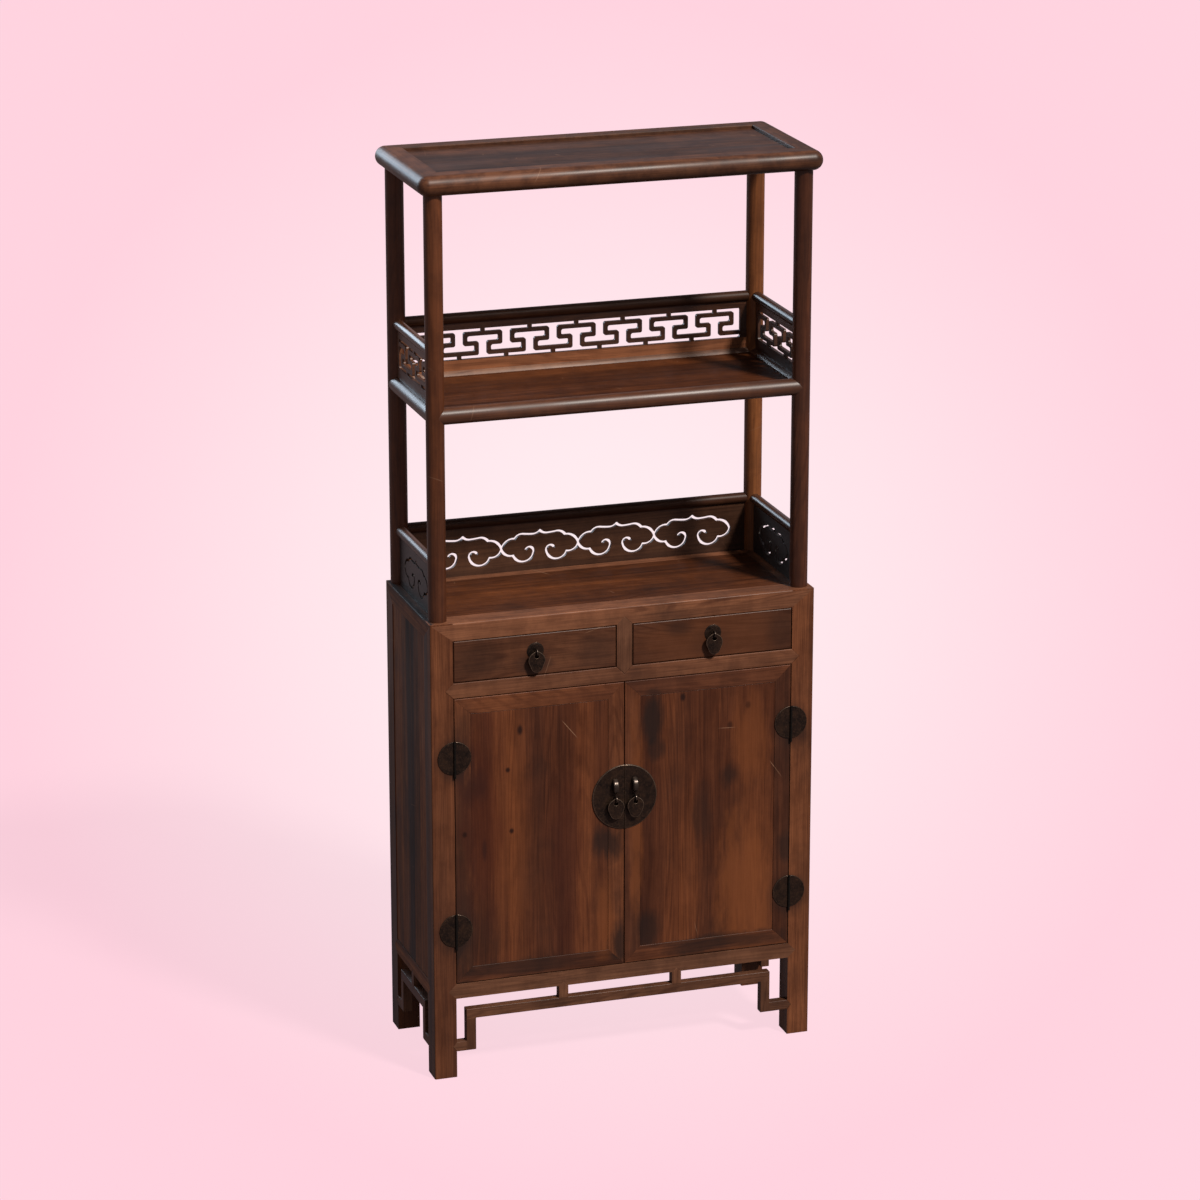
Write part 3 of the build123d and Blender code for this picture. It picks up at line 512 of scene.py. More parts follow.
    def _marks(self, bench: Bench, place: Socket, marks: Marks) -> Socket:
        """Draw one straight mark at a chance angle in some cells of a scatter.

        Args:
            bench: Tree to add to.
            place: Coordinates in the cabinet.
            marks: Density, length and rarity of the marks.

        Returns:
            The strength of the marks.
        """
        inputs = {"Vector": place, "Scale": marks.cells}
        scatter = bench.add("ShaderNodeTexVoronoi", inputs).outputs
        away = bench.vector("SUBTRACT", place, scatter["Position"])
        chance = bench.parts(scatter["Color"])
        angle = bench.math("MULTIPLY", chance[0], math.pi)
        slope = {0: bench.math("COSINE", angle), 1: 0.2, 2: bench.math("SINE", angle)}
        across = bench.add("ShaderNodeCombineXYZ", slope).outputs[0]
        offset = bench.math("ABSOLUTE", bench.vector("DOT_PRODUCT", away, across))
        thin = bench.rise(offset, SCRATCH_CORE, SCRATCH_RIM, 1.0, 0.0)
        inside = bench.rise(bench.vector("LENGTH", away), 0.5 * marks.reach, marks.reach, 1.0, 0.0)
        rare = bench.rise(chance[1], marks.rarity, marks.rarity + 0.3)
        return bench.math("MULTIPLY", bench.math("MULTIPLY", thin, inside), rare)


@dataclass(frozen=True)
class Iron:
    """Forged plate with a dark bronze-brown patina, mottled, its rims lighter from wear and a
    painted highlight.
    """

    name: str
    deep: Colour = paint(28, 20, 16)
    body: Colour = paint(48, 34, 26)
    # Rim tone: wear together with a painted highlight.
    worn_sheen: Colour = paint(116, 97, 82)
    light: Colour = paint(64, 45, 32)
    rust: Colour = paint(84, 58, 40)
    # Near black: painted shade in a hinge's slit.
    slit: Colour = paint(9, 7, 6)
    roughness: float = 0.40
    metallic: float = 0.7
    relief_strength: float = 0.4
    relief_depth: float = 0.25

    def material(self, bright: bool = False) -> bpy.types.Material:
        """Make the patina, or the brighter rim finish: wear with a painted highlight.

        Args:
            bright: Whether it is the rim finish, wear with a painted highlight.

        Returns:
            The material.
        """
        bench = Bench(f"{self.name}_rim" if bright else self.name)
        place = bench.place()
        cloudy = bench.noise(place, PATINA)
        spots = bench.noise(place, SPOTS)
        colour = bench.ramp(cloudy, ((0.34, self.deep), (0.52, self.body), (0.72, self.light)))
        colour = bench.blend(bench.rise(spots, 0.52, 0.70, 0.0, 0.45), colour, self.rust)
        # Painted highlight with wear on the eased rims.
        if bright:
            colour = bench.blend(bench.rise(cloudy, 0.30, 0.60, 0.5, 1.0), colour, self.worn_sheen)
        relief = bench.math("ADD", spots, bench.math("MULTIPLY", cloudy, 1.5))
        height = {"Distance": self.relief_depth * MM, "Height": relief}
        bump = bench.add("ShaderNodeBump", {"Strength": self.relief_strength, **height})
        low = self.roughness - (0.14 if bright else 0.06)
        return bench.finish({
            "Base Color": colour,
            "Metallic": self.metallic,
            "Roughness": bench.rise(spots, 0.3, 0.7, low, low + 0.2),
            "Normal": bump.outputs[0],
        })

    def shadowed(self) -> bpy.types.Material:
        """Make the near-black painted shade of the barrels down in a hinge's slit.

        Returns:
            The material.
        """
        bench = Bench(f"{self.name}_slit")
        spots = bench.noise(bench.place(), SLIT_SHADE_SPOTS)
        colour = bench.ramp(spots, ((0.4, self.slit), (0.75, self.deep)))
        matt = {"Metallic": 0.2, "Roughness": 0.7, "Specular IOR Level": 0.15}
        return bench.finish({"Base Color": colour, **matt})


FRAME_WOOD = Wood("frame_wood", paint(84, 54, 39), paint(108, 71, 52), paint(126, 83, 60))
RAIL_WOOD = Wood(
    "rail_wood", paint(108, 68, 48), paint(136, 87, 61), paint(154, 99, 70), scratches=0.45,
)
LEG_WOOD = Wood(
    "leg_wood", paint(96, 56, 37), paint(124, 74, 48), paint(142, 86, 55),
    figure=0.2, streaks=0.6, grime=0.5,
)
PANEL_WOOD = Wood(
    "panel_wood", paint(64, 33, 21), paint(92, 50, 31), paint(118, 66, 39), zones=(8.0, 8.0, 0.9),
    bands=0.42, figure=0.42, streaks=0.6, mottle=0.35, knots=0.12, scratches=0.8, grime=0.4,
)
STILE_WOOD = Wood(
    "stile_wood", paint(72, 40, 26), paint(98, 56, 37), paint(120, 70, 44), figure=0.4,
)
DRAWER_WOOD = Wood(
    "drawer_wood", paint(74, 44, 31), paint(88, 53, 36), paint(106, 65, 44), knots=0.2,
)
POST_WOOD = Wood(
    "post_wood", paint(88, 48, 28), paint(116, 65, 37), paint(138, 80, 45),
    roughness=0.36, gloss=0.35, relief_depth=0.05, grime=0.35,
)
GOLD_POST_WOOD = Wood(
    "gold_post_wood", paint(112, 65, 36), paint(142, 85, 47), paint(164, 102, 58),
    roughness=0.36, gloss=0.3, relief_depth=0.05, grime=0.35,
)
RED_POST_WOOD = Wood(
    "red_post_wood", paint(66, 36, 23), paint(98, 54, 34), paint(116, 66, 40),
    roughness=0.36, gloss=0.35, relief_depth=0.05, grime=0.35,
)
FRET_WOOD = Wood(
    "fret_wood", paint(66, 40, 28), paint(92, 57, 39), paint(114, 72, 49),
    roughness=0.36, gloss=0.5, grime=0.3,
)
# Painted highlight: lighter rims on the eased edges of the back fret bars.
FRET_EDGE_HIGHLIGHT_WOOD = Wood(
    "fret_edge_wood", paint(84, 54, 39), paint(116, 77, 56), paint(136, 92, 68),
    roughness=0.38, gloss=0.4, grime=0.3,
)
# Painted light: the sill under the back fret is far lighter than the bars, to look sunlit.
SILL_LIT_WOOD = Wood(
    "sill_lit_wood", paint(128, 79, 53), paint(156, 99, 67), paint(172, 112, 76),
    mottle=0.3, gloss=0.3, grime=0.2,
)
CLOUD_WOOD = Wood(
    "cloud_wood", paint(54, 34, 25), paint(80, 52, 37), paint(98, 64, 45),
    roughness=0.38, gloss=0.3, grime=0.35,
)
# Painted shade: the end cloud panels are darker and greyer than the back one, for their unlit
# faces.
CLOUD_END_SHADE_WOOD = Wood(
    "cloud_end_shade_wood", paint(34, 28, 26), paint(48, 41, 38), paint(62, 52, 48),
    gloss=0.6, grime=0.35,
)
CAP_WOOD = Wood(
    "cap_wood", paint(46, 28, 20), paint(74, 45, 31), paint(98, 60, 40),
    roughness=0.48, gloss=0.15, relief_depth=0.03, grime=0.3,
)
CAP_END_WOOD = Wood(
    "cap_end_wood", paint(56, 34, 24), paint(86, 53, 36), paint(108, 67, 44),
    roughness=0.28, gloss=0.5, relief_depth=0.03, grime=0.3,
)
# Painted highlight with wear: a lighter band along the crest of the back shelf rail.
CREST_SHEEN_WOOD = Wood(
    "crest_sheen_wood", paint(108, 74, 56), paint(142, 102, 80), paint(164, 122, 98),
    roughness=0.5, gloss=0.5, grime=0.4,
)
# Painted light: lighter rims on the eased edges of the cloud panels, so the cut-outs look lit.
SLIT_LIGHT_WOOD = Wood(
    "slit_light_wood", paint(110, 72, 54), paint(148, 102, 80), paint(170, 122, 98),
    roughness=0.4, gloss=0.3, grime=0.2,
)
ROUND_WOOD = Wood(
    "round_wood", paint(62, 37, 25), paint(98, 58, 37), paint(124, 75, 47),
    gloss=0.5, relief_depth=0.03, grime=0.35,
)
BOARD_WOOD = Wood(
    "board_wood", paint(46, 28, 21), paint(88, 55, 37), paint(116, 72, 48),
    bands=0.6, mottle=0.85, gloss=0.3, relief_depth=0.04, grime=0.6, scratches=0.5,
)
TOP_WOOD = Wood(
    "top_wood", paint(64, 34, 20), paint(100, 55, 30), paint(126, 71, 38),
    bands=0.55, gloss=0.12, knots=0.2, scratches=0.5,
)
SHELF_WOOD = Wood(
    "shelf_wood", paint(60, 31, 17), paint(88, 47, 25), paint(112, 62, 33), bands=0.7, gloss=0.05,
)
# Partly painted shade: the cool grey dark stop and grime colour give the sides the dim, cool look
# of an unlit face over their real streaks.
SIDE_WOOD = Wood(
    "side_wood", paint(58, 48, 45), paint(122, 80, 57), paint(156, 99, 67), zones=(16.0, 16.0, 0.8),
    bands=0.8, grime=0.6, gloss=0.15, roughness=0.55, grime_and_shade_colour=paint(50, 47, 49),
)
# Painted shade: a darker, cool grey copy of the leg wood for the unlit left faces of the legs.
SHADED_LEG_WOOD = Wood(
    "shaded_leg_wood", paint(50, 47, 47), paint(86, 62, 51), paint(120, 79, 57),
    zones=(16.0, 16.0, 0.8), bands=0.7, figure=0.2, grime=0.7, gloss=0.2,
    grime_and_shade_colour=paint(46, 47, 50),
)
INNER_WOOD = Wood(
    "inner_wood", paint(92, 58, 38), paint(124, 80, 53), paint(146, 97, 64),
    gloss=0.15, roughness=0.6,
)
IRON = Iron("iron")
POLISHED_IRON = Iron(
    "polished_iron", paint(42, 34, 29), paint(72, 62, 55), paint(120, 106, 95), roughness=0.28,
)


@dataclass
class Piece:
    """One shown piece, made from a node of the frame with its doubles merged and edges eased."""

    node: str
    bevel: float = 0.9
    steps: int = 2
    sharp: float = 28.0
    pierced: bool = False

    def body(self) -> str:
        """Name the body that the node rides on."""
        return frame["nodes"][self.node]["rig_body"]

    def shape(
        self,
        materials: list[bpy.types.Material],
        slot: str,
        sorter: Sorter | None = None,
        cuts: Iterable[tuple[Triple | Vector, Vector]] = (),
        rims: dict[int, int] | None = None,
    ) -> bpy.types.Object:
        """Build the piece, put it in the scene and let it stand for its node.

        Args:
            materials: Materials of the piece.
            slot: Not used.
            sorter: Gives the number of a face's material from its middle.
            cuts: Planes, each a point and a normal, that part the faces for the sorter.
            rims: Number of the material on the eased edges of each material, where it differs.

        Returns:
            The new object.
        """
        mesh = bmesh.new()
        mesh.from_mesh(frame["nodes"][self.node].data)
        bmesh.ops.remove_doubles(mesh, verts=mesh.verts, dist=WELD_REACH)
        if not self.pierced:
            bmesh.ops.dissolve_limit(
                mesh, angle_limit=FLAT_ANGLE, verts=mesh.verts, edges=mesh.edges,
                use_dissolve_boundaries=False,
            )
        for face in mesh.faces:
            face.material_index = 0
        eased = self._ease(mesh)
        for point, normal in cuts:
            geometry = [*mesh.verts, *mesh.edges, *mesh.faces]
            bmesh.ops.bisect_plane(mesh, geom=geometry, plane_co=point, plane_no=normal)
        if sorter:
            for face in mesh.faces:
                face.material_index = sorter(face.calc_center_median())
        for face in eased:
            if face.is_valid and rims:
                face.material_index = rims.get(face.material_index, face.material_index)
        for face in mesh.faces:
            face.smooth = True
        data = bpy.data.meshes.new(f"{self.node}_shown")
        mesh.to_mesh(data)
        mesh.free()
        for material in materials:
            data.materials.append(material)
        data.set_sharp_from_angle(angle=CREASE_ANGLE)
        shown = put(f"{self.node}_shown", data)
        even = shown.modifiers.new("even", "WEIGHTED_NORMAL")
        even.keep_sharp = True
        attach(shown, self.body())
        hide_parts(self.node)
        log.info("%s: %d faces, rides on %s", shown.name, len(data.polygons), self.body())
        return shown

    def _ease(self, mesh: bmesh.types.BMesh) -> list[bmesh.types.BMFace]:
        """Round the sharp edges a little.

        Args:
            mesh: Mesh to work on.

        Returns:
            The faces of the rounded edges.
        """
        if not self.bevel:
            return []
        limit = math.radians(self.sharp)
        whole = [edge for edge in mesh.edges if edge.is_manifold]
        edges = [edge for edge in whole if edge.calc_face_angle(0.0) > limit]
        made = bmesh.ops.bevel(
            mesh, geom=edges, offset=self.bevel * MM, offset_type="OFFSET", segments=self.steps,
            profile=0.5, affect="EDGES", clamp_overlap=True, material=-1,
        )
        return made["faces"]


@dataclass
class Carcase:
    """Closed case: legs, mitred top frame, rails, panels and what is inside."""

    frame_bevel: float = 1.3
    frame_steps: int = 3
    panel_bevel: float = 0.6
    top_bevel: float = 0.4
    shade_edge: float = 0.6
    legs: tuple[str, ...] = ("leg_front_left", "leg_front_right", "leg_back_left", "leg_back_right")
    rails: tuple[tuple[str, Wood, Grain], ...] = (
        ("top_rails_long", RAIL_WOOD, Grain.ALONG_X), ("top_rails_side", SIDE_WOOD, Grain.ALONG_Y),
        ("drawer_rail", RAIL_WOOD, Grain.ALONG_X), ("bottom_rails_long", FRAME_WOOD, Grain.ALONG_X),
        ("bottom_rails_side", SIDE_WOOD, Grain.ALONG_Y), ("muntin", FRAME_WOOD, Grain.ALONG_Z),
    )
    panels: tuple[tuple[str, str], ...] = (
        ("side_panel_left", "frame_wood"), ("side_panel_right", "frame_wood"),
        ("back_panel", "inner_wood"),
    )
    inner: tuple[str, ...] = ("inner_shelf", "dust_board", "cleats_and_guides", "floor_board")

    def left_face(self, name: str) -> Sorter:
        """Make a sorter that gives 1 on the left face of a leg, which takes the painted shade, and
        0 elsewhere.
        """
        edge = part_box(name)[0].x + self.shade_edge * MM
        return lambda centre: 1 if centre.x < edge else 0

    def build(self, doors: Iterable["Door"]) -> None:
        """Shape and dress every piece of the case.

        Args:
            doors: The doors, whose hinge plates lay grime and painted shade on the legs beside
                them.
        """
        # Grime with painted shade round the hinge plates, laid on the front legs too.
        smudges = [smudge for door in doors for smudge in door.plates()]
        for index, name in enumerate(self.legs):
            near = smudges if "front" in name else []
            # Lit copy of the leg wood, and the painted-shade copy for its left face.
            lit = LEG_WOOD.material(Grain.ALONG_Z, 1.3 + index, near)
            shaded = SHADED_LEG_WOOD.material(Grain.ALONG_Z, 5.3 + index)
            leg = Piece(name, self.frame_bevel, self.frame_steps)
            leg.shape([lit, shaded], "frame_wood", self.left_face(name))
        for index, (name, wood, grain) in enumerate(self.rails):
            rail = Piece(name, self.frame_bevel, self.frame_steps)
            rail.shape([wood.material(grain, 7.3 + index)], "frame_wood")
        for index, (name, slot) in enumerate(self.panels):
            material = SIDE_WOOD.material(Grain.ALONG_Z, 20.1 + index)
            Piece(name, self.panel_bevel).shape([material], slot)
        top = TOP_WOOD.material(Grain.ALONG_X, 31.4)
        Piece("case_top_panel", self.top_bevel).shape([top], "top_wood")
        material = INNER_WOOD.material(Grain.ALONG_X, 40.2)
        for name in self.inner:
            Piece(name, self.panel_bevel).shape([material], "inner_wood")


@dataclass
class Apron:
    """Lattice under the case, a bar with drops, feet and struts, grain along each member."""

    name: str
    grain: Grain
    seed: float
    feet: tuple[float, float]
    bevel: float = 1.2
    bar_low: float = 120 * MM
    bar_top: float = 140 * MM

    def build(self) -> None:
        """Shape the lattice, parted at the bar and the feet so that each member has its grain."""
        axis = 0 if self.grain is Grain.ALONG_X else 1
        first, last = self.feet

        def member(centre: Vector) -> int:
            """Give 0 for a level member and 1 for an upright one."""
            level = self.bar_low <= centre.z <= self.bar_top
            return 0 if level or not first <= centre[axis] <= last else 1

        across = Vector((1, 0, 0)) if axis == 0 else Vector((0, 1, 0))
        cuts = [((0, 0, height), UP) for height in (self.bar_low, self.bar_top)]
        cuts += [(across * place, across) for place in self.feet]
        level = FRAME_WOOD.material(self.grain, self.seed)
        upright = FRAME_WOOD.material(Grain.ALONG_Z, self.seed + 0.5)
        Piece(self.name, self.bevel).shape([level, upright], "frame_wood", member, cuts)


APRONS = (
    Apron("apron_front", Grain.ALONG_X, 15.2, (-324.75 * MM, 307.25 * MM)),
    Apron("apron_left", Grain.ALONG_Y, 16.2, (-84.55 * MM, 87.45 * MM)),
    Apron("apron_right", Grain.ALONG_Y, 17.2, (-84.55 * MM, 87.45 * MM)),
)


@dataclass
class Door:
    """Mitred door: stiles, rails and a flat panel, with the stains of its own."""

    side: str
    seed: float
    stains: tuple[Smudge, ...]
    bevel: float = 0.7
    panel_bevel: float = 0.5
    hinge_x: float = 344.0
    hinge_heights: tuple[float, float] = (308.0, 663.0)

    def plates(self) -> list[Smudge]:
        """Place dark patches behind the hinge plates, grime with painted shade round their rims."""
        x = -self.hinge_x if self.side == "left" else self.hinge_x
        return [Smudge(x, height - 6, 56, 62, 0.75, ragged=0.6) for height in self.hinge_heights]

    def build(self) -> None:
        """Shape and dress the wood of the door."""
        patches = [*self.stains, *self.plates()]
        panel = PANEL_WOOD.material(Grain.ALONG_Z, self.seed, patches)
        Piece(f"door_panel_{self.side}", self.panel_bevel).shape([panel], "panel_wood")
        stile = STILE_WOOD.material(Grain.ALONG_Z, self.seed + 0.37, patches)
        Piece(f"door_stiles_{self.side}", self.bevel).shape([stile], "frame_wood")
        rail = STILE_WOOD.material(Grain.ALONG_X, self.seed + 0.7, patches)
        Piece(f"door_rails_{self.side}", self.bevel).shape([rail], "frame_wood")


DOORS = (
    Door("left", 3.17, (
        Smudge(-230, 480, 60, 330, 0.2, RUBBED), Smudge(-40, 290, 34, 120, 0.5, RUBBED),
        Smudge(-304, 600, 34, 62, 0.75), Smudge(-285, 468, 7, 34, 0.85, ragged=0.5),
        Smudge(-334, 430, 46, 420, 0.6), Smudge(-310, 300, 70, 160, 0.5),
        Smudge(-200, 215, 150, 26, 0.5), Smudge(-296, 520, 70, 320, 0.45, RED_SHADE),
        Smudge(-120, 420, 60, 260, 0.3, RED_SHADE), Smudge(-36, 454, 44, 58, 0.8),
        Smudge(-8, 240, 34, 64, 0.8), Smudge(-212, 706, 8, 15, 0.9, KNOT, 0.3),
        Smudge(-237, 627, 7, 8, 0.9, KNOT, 0.3), Smudge(-230, 501, 7, 8, 0.9, KNOT, 0.3),
        Smudge(-325, 504, 7, 9, 0.8, KNOT, 0.3),
    )),
    Door("right", 5.83, (
        Smudge(250, 330, 80, 230, 0.6, RUBBED), Smudge(262, 640, 60, 120, 0.4, RUBBED),
        Smudge(56, 706, 34, 68, 0.85), Smudge(66, 635, 24, 34, 0.6),
        Smudge(161, 490, 30, 90, 0.5), Smudge(219, 566, 28, 42, 0.65),
        Smudge(54, 262, 38, 54, 0.7), Smudge(200, 216, 190, 26, 0.75),
        Smudge(336, 402, 24, 42, 0.6), Smudge(120, 738, 8, 13, 0.9, KNOT, 0.3),
        Smudge(24, 520, 22, 300, 0.5, RUBBED), Smudge(218, 670, 9, 12, 0.6, KNOT, 0.3),
        Smudge(255, 708, 9, 12, 0.5, KNOT, 0.3),
    )),
)


@dataclass
class Drawer:
    """Drawer: a front with rounded edges and a plain box behind it."""

    side: str
    seed: float
    stains: tuple[Smudge, ...]
    bevel: float = 0.5
    box_bevel: float = 0.6
    pull_height: float = 846.0

    def build(self) -> None:
        """Shape and dress the front and the box."""
        low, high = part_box(f"drawer_front_{self.side}")
        grime = Smudge((low.x + high.x) / 2 / MM, self.pull_height, 56, 44, 0.6)
        front = DRAWER_WOOD.material(Grain.ALONG_X, self.seed, [grime, *self.stains])
        Piece(f"drawer_front_{self.side}", self.bevel).shape([front], "drawer_wood")
        inner = INNER_WOOD.material(Grain.ALONG_Y, self.seed + 0.4)
        Piece(f"drawer_box_{self.side}", self.box_bevel).shape([inner], "inner_wood")


DRAWERS = (
    Drawer("left", 8.4, (
        Smudge(-290, 850, 70, 60, 0.4, ragged=0.8), Smudge(-60, 850, 60, 60, 0.3, ragged=0.8),
    )),
    Drawer("right", 12.6, (
        Smudge(170, 850, 260, 120, 0.25, RUBBED, 0.6), Smudge(110, 882, 46, 24, 0.45, ragged=0.8),
        Smudge(320, 850, 40, 60, 0.35, ragged=0.8),
    )),
)


@dataclass
class Fittings:
    """Iron hinges, lock plates, staples, eyes and pendants."""

    hinges: tuple[str, ...] = (
        "hinge_leaves_case", "hinge_leaves_left", "hinge_leaves_right", "hinge_pins",
    )
    sides: tuple[str, str] = ("left", "right")
    hinge_bevel: float = 0.5
    plate_bevel: float = 0.7
    staple_bevel: float = 1.1
    staple_steps: int = 3
    eye_bevel: float = 0.35
    pull_bevel: float = 0.4
    sharp: float = 30.0
    pin_x: float = 344.25 * MM
    pin_reach: float = 3.2 * MM
    plate_front: float = -156.4 * MM

    def build(self) -> None:
        """Shape and dress every fitting, with brighter rims."""
        # Plain patina, and the lighter rim finish of wear with a painted highlight.
        plain, worn_sheen = IRON.material(), IRON.material(bright=True)
        # Near-black painted shade for the barrels in the hinge slits, and polished iron.
        slit_shade, polished = IRON.shadowed(), POLISHED_IRON.material()
        for name in self.hinges:
            hinge = Piece(name, self.hinge_bevel, 1, self.sharp)
            hinge.shape([plain, slit_shade, worn_sheen], "iron", self.barrel, rims={0: 2})
        for side in self.sides:
            Piece(f"lock_plate_{side}", self.plate_bevel).shape([plain, worn_sheen], "iron", rims={0: 1})
            staple = Piece(f"lock_staple_{side}", self.staple_bevel, self.staple_steps)
            staple.shape([polished], "iron")
            Piece(f"door_eye_{side}", self.eye_bevel, 2, self.sharp).shape([polished], "iron")
            plate = Piece(f"drawer_pull_plate_{side}", self.pull_bevel, 2, self.sharp)
            plate.shape([plain, polished, worn_sheen], "iron", self.proud, rims={0: 2})
            for carrier in ("door", "drawer"):
                pendant = Piece(f"pendant_{carrier}_{side}", self.pull_bevel, 2, self.sharp)
                pendant.shape([plain, worn_sheen], "iron", rims={0: 1})

    def barrel(self, centre: Vector) -> int:
        """Give 1 near the pin of a hinge and 0 on its leaves."""
        return 1 if abs(abs(centre.x) - self.pin_x) < self.pin_reach else 0

    def proud(self, centre: Vector) -> int:
        """Give 1 on the eye that stands out from a pull plate and 0 on the plate."""
        return 1 if centre.y < self.plate_front else 0


@dataclass
class OpenTier:
    """Four posts with the top board and the railed shelf."""

    posts: tuple[tuple[str, Wood], ...] = (
        ("post_front_left", POST_WOOD), ("post_front_right", RED_POST_WOOD),
        ("post_back_left", RED_POST_WOOD), ("post_back_right", GOLD_POST_WOOD),
    )
    panel_bevel: float = 0.4
    board_bevel: float = 1.3
    board_steps: int = 3
    rail_bevel: float = 0.4
    crest_front: float = 120 * MM
    crest_back: float = 137 * MM
    crest_low: float = 1341 * MM

    def build(self) -> None:
        """Shape and dress the posts, the board and the shelf."""
        for index, (name, wood) in enumerate(self.posts):
            post = wood.material(Grain.ALONG_Z, 50.3 + index)
            Piece(name, bevel=0.0).shape([post], "frame_wood")
        board = BOARD_WOOD.material(Grain.ALONG_X, 60.5)
        Piece("board_panel", self.panel_bevel).shape([board], "top_wood")
        for name, grain, seed in (("long", Grain.ALONG_X, 61.5), ("short", Grain.ALONG_Y, 62.5)):
            rail = Piece(f"board_rails_{name}", self.board_bevel, self.board_steps)
            rail.shape([BOARD_WOOD.material(grain, seed)], "frame_wood")
        shelf = SHELF_WOOD.material(Grain.ALONG_X, 63.5)
        Piece("shelf_panel", self.panel_bevel).shape([shelf], "top_wood")
        rail = [ROUND_WOOD.material(Grain.ALONG_X, 64.5), CREST_SHEEN_WOOD.material(Grain.ALONG_X, 64.9)]
        Piece("shelf_rails_long", self.rail_bevel).shape(rail, "frame_wood", self.crest)
        end = CAP_END_WOOD.material(Grain.ALONG_Y, 65.5)
        Piece("shelf_rails_short", self.rail_bevel).shape([end], "frame_wood")

    def crest(self, centre: Vector) -> int:
        """Give 1 on the back rail's crest before the sill, wear with a painted highlight, else 0.
        """
        behind = self.crest_front < centre.y < self.crest_back
        return 1 if behind and centre.z > self.crest_low else 0


@dataclass
class Galleries:
    """Key-fret and cloud galleries under round cap rails, at the back and both ends."""

    fret_bevel: float = 1.4
    fret_steps: int = 3
    cloud_bevel: float = 1.0
    cloud_steps: int = 2
    rail_bevel: float = 0.4
    end_start: float = 355 * MM
    sill_top: float = 1372.5 * MM

    def run(self, centre: Vector) -> int:
        """Give 0 on the back and 1 at the ends."""
        return 1 if abs(centre.x) > self.end_start else 0

    def fret_run(self, centre: Vector) -> int:
        """Give 2 on the painted-light sill under the fret of the back, and otherwise what the run
        gives.
        """
        return 2 if self.run(centre) == 0 and centre.z < self.sill_top else self.run(centre)

    def build(self) -> None:
        """Shape and dress the pierced panels and their caps."""
        fret = [FRET_WOOD.material(Grain.ALONG_X, 70.1), FRET_WOOD.material(Grain.ALONG_Y, 71.1)]
        # Painted light on the sill under the fret.
        sill = SILL_LIT_WOOD.material(Grain.ALONG_X, 70.6)
        # Painted highlight on the eased edges of the fret.
        fret_edge = FRET_EDGE_HIGHLIGHT_WOOD.material(Grain.ALONG_X, 70.9)
        Piece("fret_panels", self.fret_bevel, self.fret_steps, pierced=True).shape(
            [*fret, sill, fret_edge], "gallery_wood", self.fret_run,
            [((0, 0, self.sill_top), UP)], rims={0: 3},
        )
        back = CLOUD_WOOD.material(Grain.ALONG_X, 72.1)
        # The ends take the painted-shade copy of the cloud wood.
        ends = CLOUD_END_SHADE_WOOD.material(Grain.ALONG_Y, 73.1)
        # Painted light on the eased edges of the cut-outs.
        cut_edge = SLIT_LIGHT_WOOD.material(Grain.ALONG_X, 76.1)
        Piece("cloud_panels", self.cloud_bevel, self.cloud_steps, pierced=True).shape(
            [back, ends, cut_edge], "gallery_wood", self.run, rims={0: 2, 1: 2}
        )
        caps = [CAP_WOOD.material(Grain.ALONG_X, 74.1), CAP_END_WOOD.material(Grain.ALONG_Y, 75.1)]
        Piece("gallery_rails", self.rail_bevel).shape(caps, "gallery_wood", self.run)


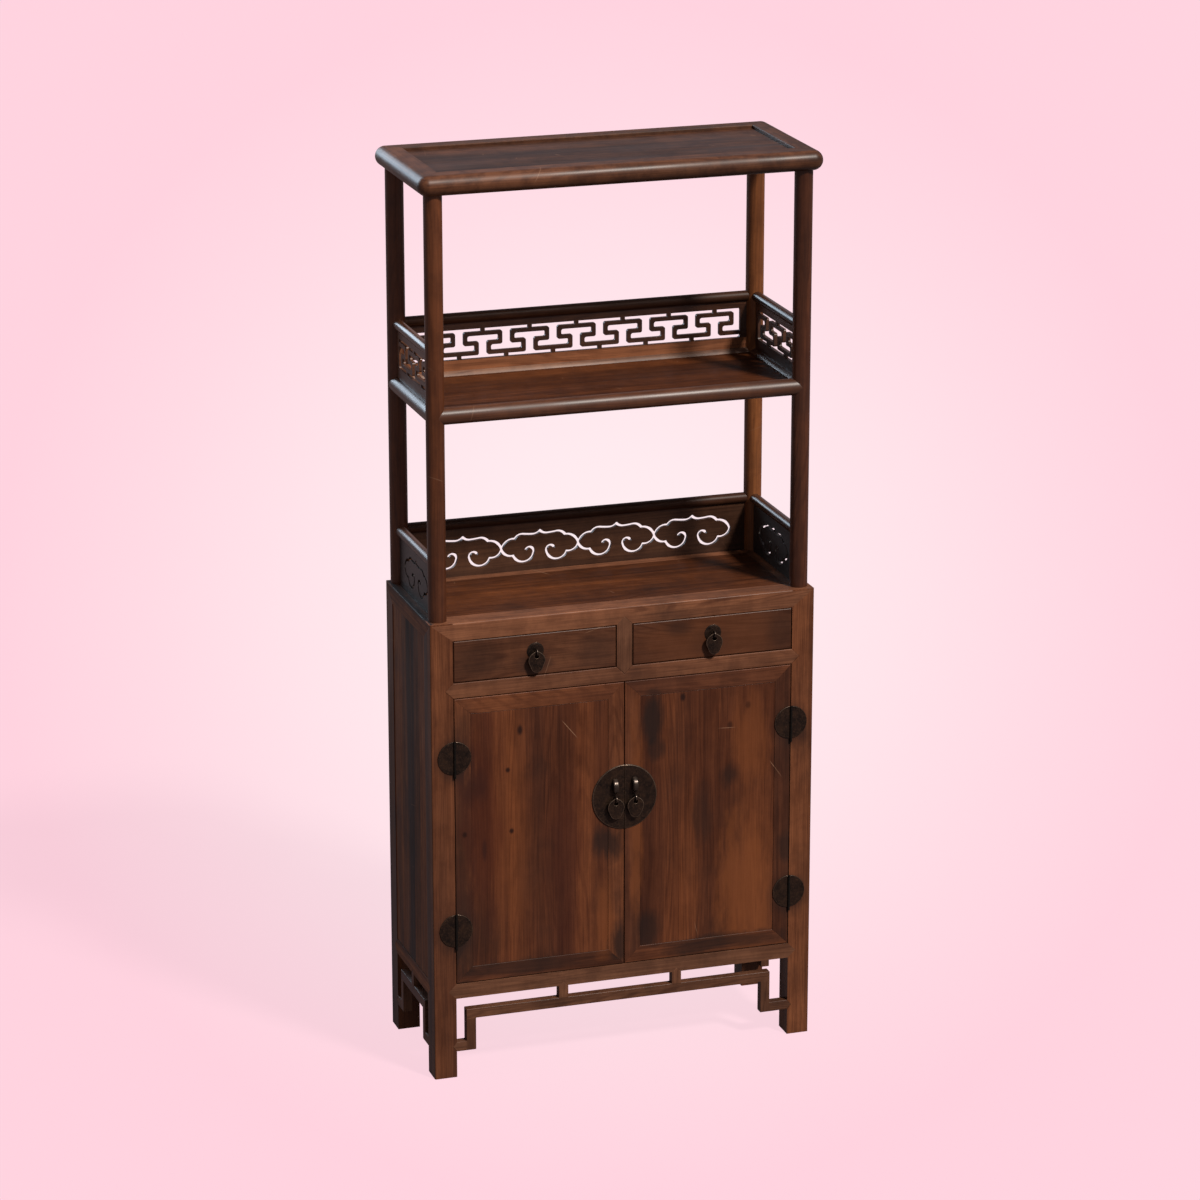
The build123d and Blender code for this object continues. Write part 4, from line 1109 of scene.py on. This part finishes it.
@dataclass
class Studio:
    """Pale pink floor, key light from the right, cool strip behind at the left, and the camera."""

    floor_half: float = 60.0
    glow: tuple[tuple[float, Colour], ...] = (
        (0.0, paint(255, 240, 242)), (0.25, paint(255, 235, 240)), (0.5, paint(255, 228, 235)),
        (0.75, paint(255, 219, 229)), (1.0, paint(255, 211, 224)),
    )
    glow_angle: float = math.radians(7.70)
    bounce: Colour = (0.12, 0.105, 0.10, 1.0)
    flatness: float = 0.92
    gloss_share: float = 0.15
    fill: Colour = (0.90, 0.95, 1.0, 1.0)
    fill_power: float = 0.22
    view_turn: float = math.radians(-18.190)
    view_tilt: float = math.radians(17.409)
    camera_place: Triple = (-2.5863, -7.87275, 3.5003)
    lens: float = 133.07
    sensor: float = 36.0
    view_end: float = 200.0
    key_turn: float = math.radians(29.0)
    key_height: float = math.radians(46.0)
    key_power: float = 3.7
    key_size: float = math.radians(8.0)
    key_colour: Triple = (1.0, 0.95, 0.88)
    strip_place: Triple = (-1.7, 3.2, 2.7)
    strip_aim: Triple = (0.0, 0.0, 1.1)
    strip_colour: Triple = (0.68, 0.84, 1.0)
    strips: tuple[tuple[str, float, float], ...] = (
        ("strip_wide", 2.0, 68.0), ("strip_core", 0.6, 14.0),
    )

    def build(self) -> None:
        """Set the floor, the lights, the world and the camera."""
        self._floor()
        self._lights()
        self._world()
        self._camera()
        bpy.context.scene.view_settings.view_transform = "Standard"

    def _towards(self, turn: float, height: float) -> Vector:
        """Give the direction at a turn from the front and a height over the level."""
        level = math.cos(height)
        return Vector((math.sin(turn) * level, -math.cos(turn) * level, math.sin(height)))

    def _seen(self, bench: Bench) -> Socket:
        """Tell where the backdrop is looked at, and how much of it reflections show.

        Args:
            bench: Tree to add to.

        Returns:
            1 where it is looked at, the share in reflections and 0 for all other light.
        """
        path = bench.add("ShaderNodeLightPath").outputs
        direct = bench.math("MAXIMUM", path["Is Camera Ray"], path["Is Transmission Ray"])
        glossy = bench.math("MULTIPLY", path["Is Glossy Ray"], self.gloss_share)
        return bench.math("MAXIMUM", direct, glossy)

    def _floor(self) -> None:
        """Lay the floor, lighter in a round glow behind the cabinet, with a faint shadow."""
        mesh = bmesh.new()
        bmesh.ops.create_grid(mesh, x_segments=1, y_segments=1, size=self.floor_half)
        data = bpy.data.meshes.new("floor")
        mesh.to_mesh(data)
        mesh.free()
        floor = put("floor", data)
        bench = Bench("floor")
        away = bench.vector("NORMALIZE", bench.vector("SUBTRACT", bench.place(), self.camera_place))
        axis = tuple(-self._towards(self.view_turn, self.view_tilt))
        level = bench.vector("DOT_PRODUCT", away, axis)
        angle = bench.math("ARCCOSINE", bench.math("MINIMUM", level, 1.0))
        colour = bench.ramp(bench.math("DIVIDE", angle, self.glow_angle), self.glow)
        lit = bench.add("ShaderNodeBsdfDiffuse", {"Color": colour}).outputs[0]
        flat = bench.add("ShaderNodeEmission", {"Color": colour, "Strength": 1.0}).outputs[0]
        shown = bench.add("ShaderNodeMixShader", {0: self.flatness, 1: lit, 2: flat}).outputs[0]
        dim = bench.add("ShaderNodeBsdfDiffuse", {"Color": self.bounce}).outputs[0]
        both = bench.add("ShaderNodeMixShader", {0: self._seen(bench), 1: dim, 2: shown}).outputs[0]
        bench.add("ShaderNodeOutputMaterial", {"Surface": both})
        data.materials.append(bench.material)

    def _lights(self) -> None:
        """Hang the key light and the cool strip light, wide and soft with a bright core."""
        key = bpy.data.lights.new("key", "SUN")
        key.energy = self.key_power
        key.angle = self.key_size
        key.color = self.key_colour
        turn_back(put("key", key), self._towards(self.key_turn, self.key_height))
        for name, size, power in self.strips:
            strip = bpy.data.lights.new(name, "AREA")
            strip.shape = "SQUARE"
            strip.size = size
            strip.energy = power
            strip.color = self.strip_colour
            box = put(name, strip)
            box.location = self.strip_place
            box.visible_diffuse = False
            box.visible_camera = False
            turn_back(box, box.location - Vector(self.strip_aim))

    def _world(self) -> None:
        """Light softly from all round, with the backdrop's own colour behind."""
        world = bpy.data.worlds.new("studio")
        world.use_nodes = True
        bench = Bench("studio", world.node_tree)
        fill = bench.add("ShaderNodeBackground", {"Color": self.fill, "Strength": self.fill_power})
        backdrop = bench.add("ShaderNodeBackground", {"Color": self.glow[-1][1], "Strength": 1.0})
        layers = {0: self._seen(bench), 1: fill.outputs[0], 2: backdrop.outputs[0]}
        both = bench.add("ShaderNodeMixShader", layers).outputs[0]
        bench.add("ShaderNodeOutputWorld", {"Surface": both})
        bpy.context.scene.world = world

    def _camera(self) -> None:
        """Place the camera a little above the case, left of the front."""
        data = bpy.data.cameras.new("camera")
        data.lens = self.lens
        data.sensor_width = self.sensor
        data.clip_end = self.view_end
        camera = put("camera", data)
        camera.location = self.camera_place
        turn_back(camera, self._towards(self.view_turn, self.view_tilt))
        bpy.context.scene.camera = camera


def main() -> None:
    """Build the cabinet from the case up, then the studio round it."""
    logging.basicConfig(level=logging.INFO, format="%(name)s: %(message)s")
    Carcase().build(DOORS)
    for part in (*APRONS, *DOORS, *DRAWERS):
        part.build()
    Fittings().build()
    OpenTier().build()
    Galleries().build()
    Studio().build()


if __name__ == "__main__":
    main()
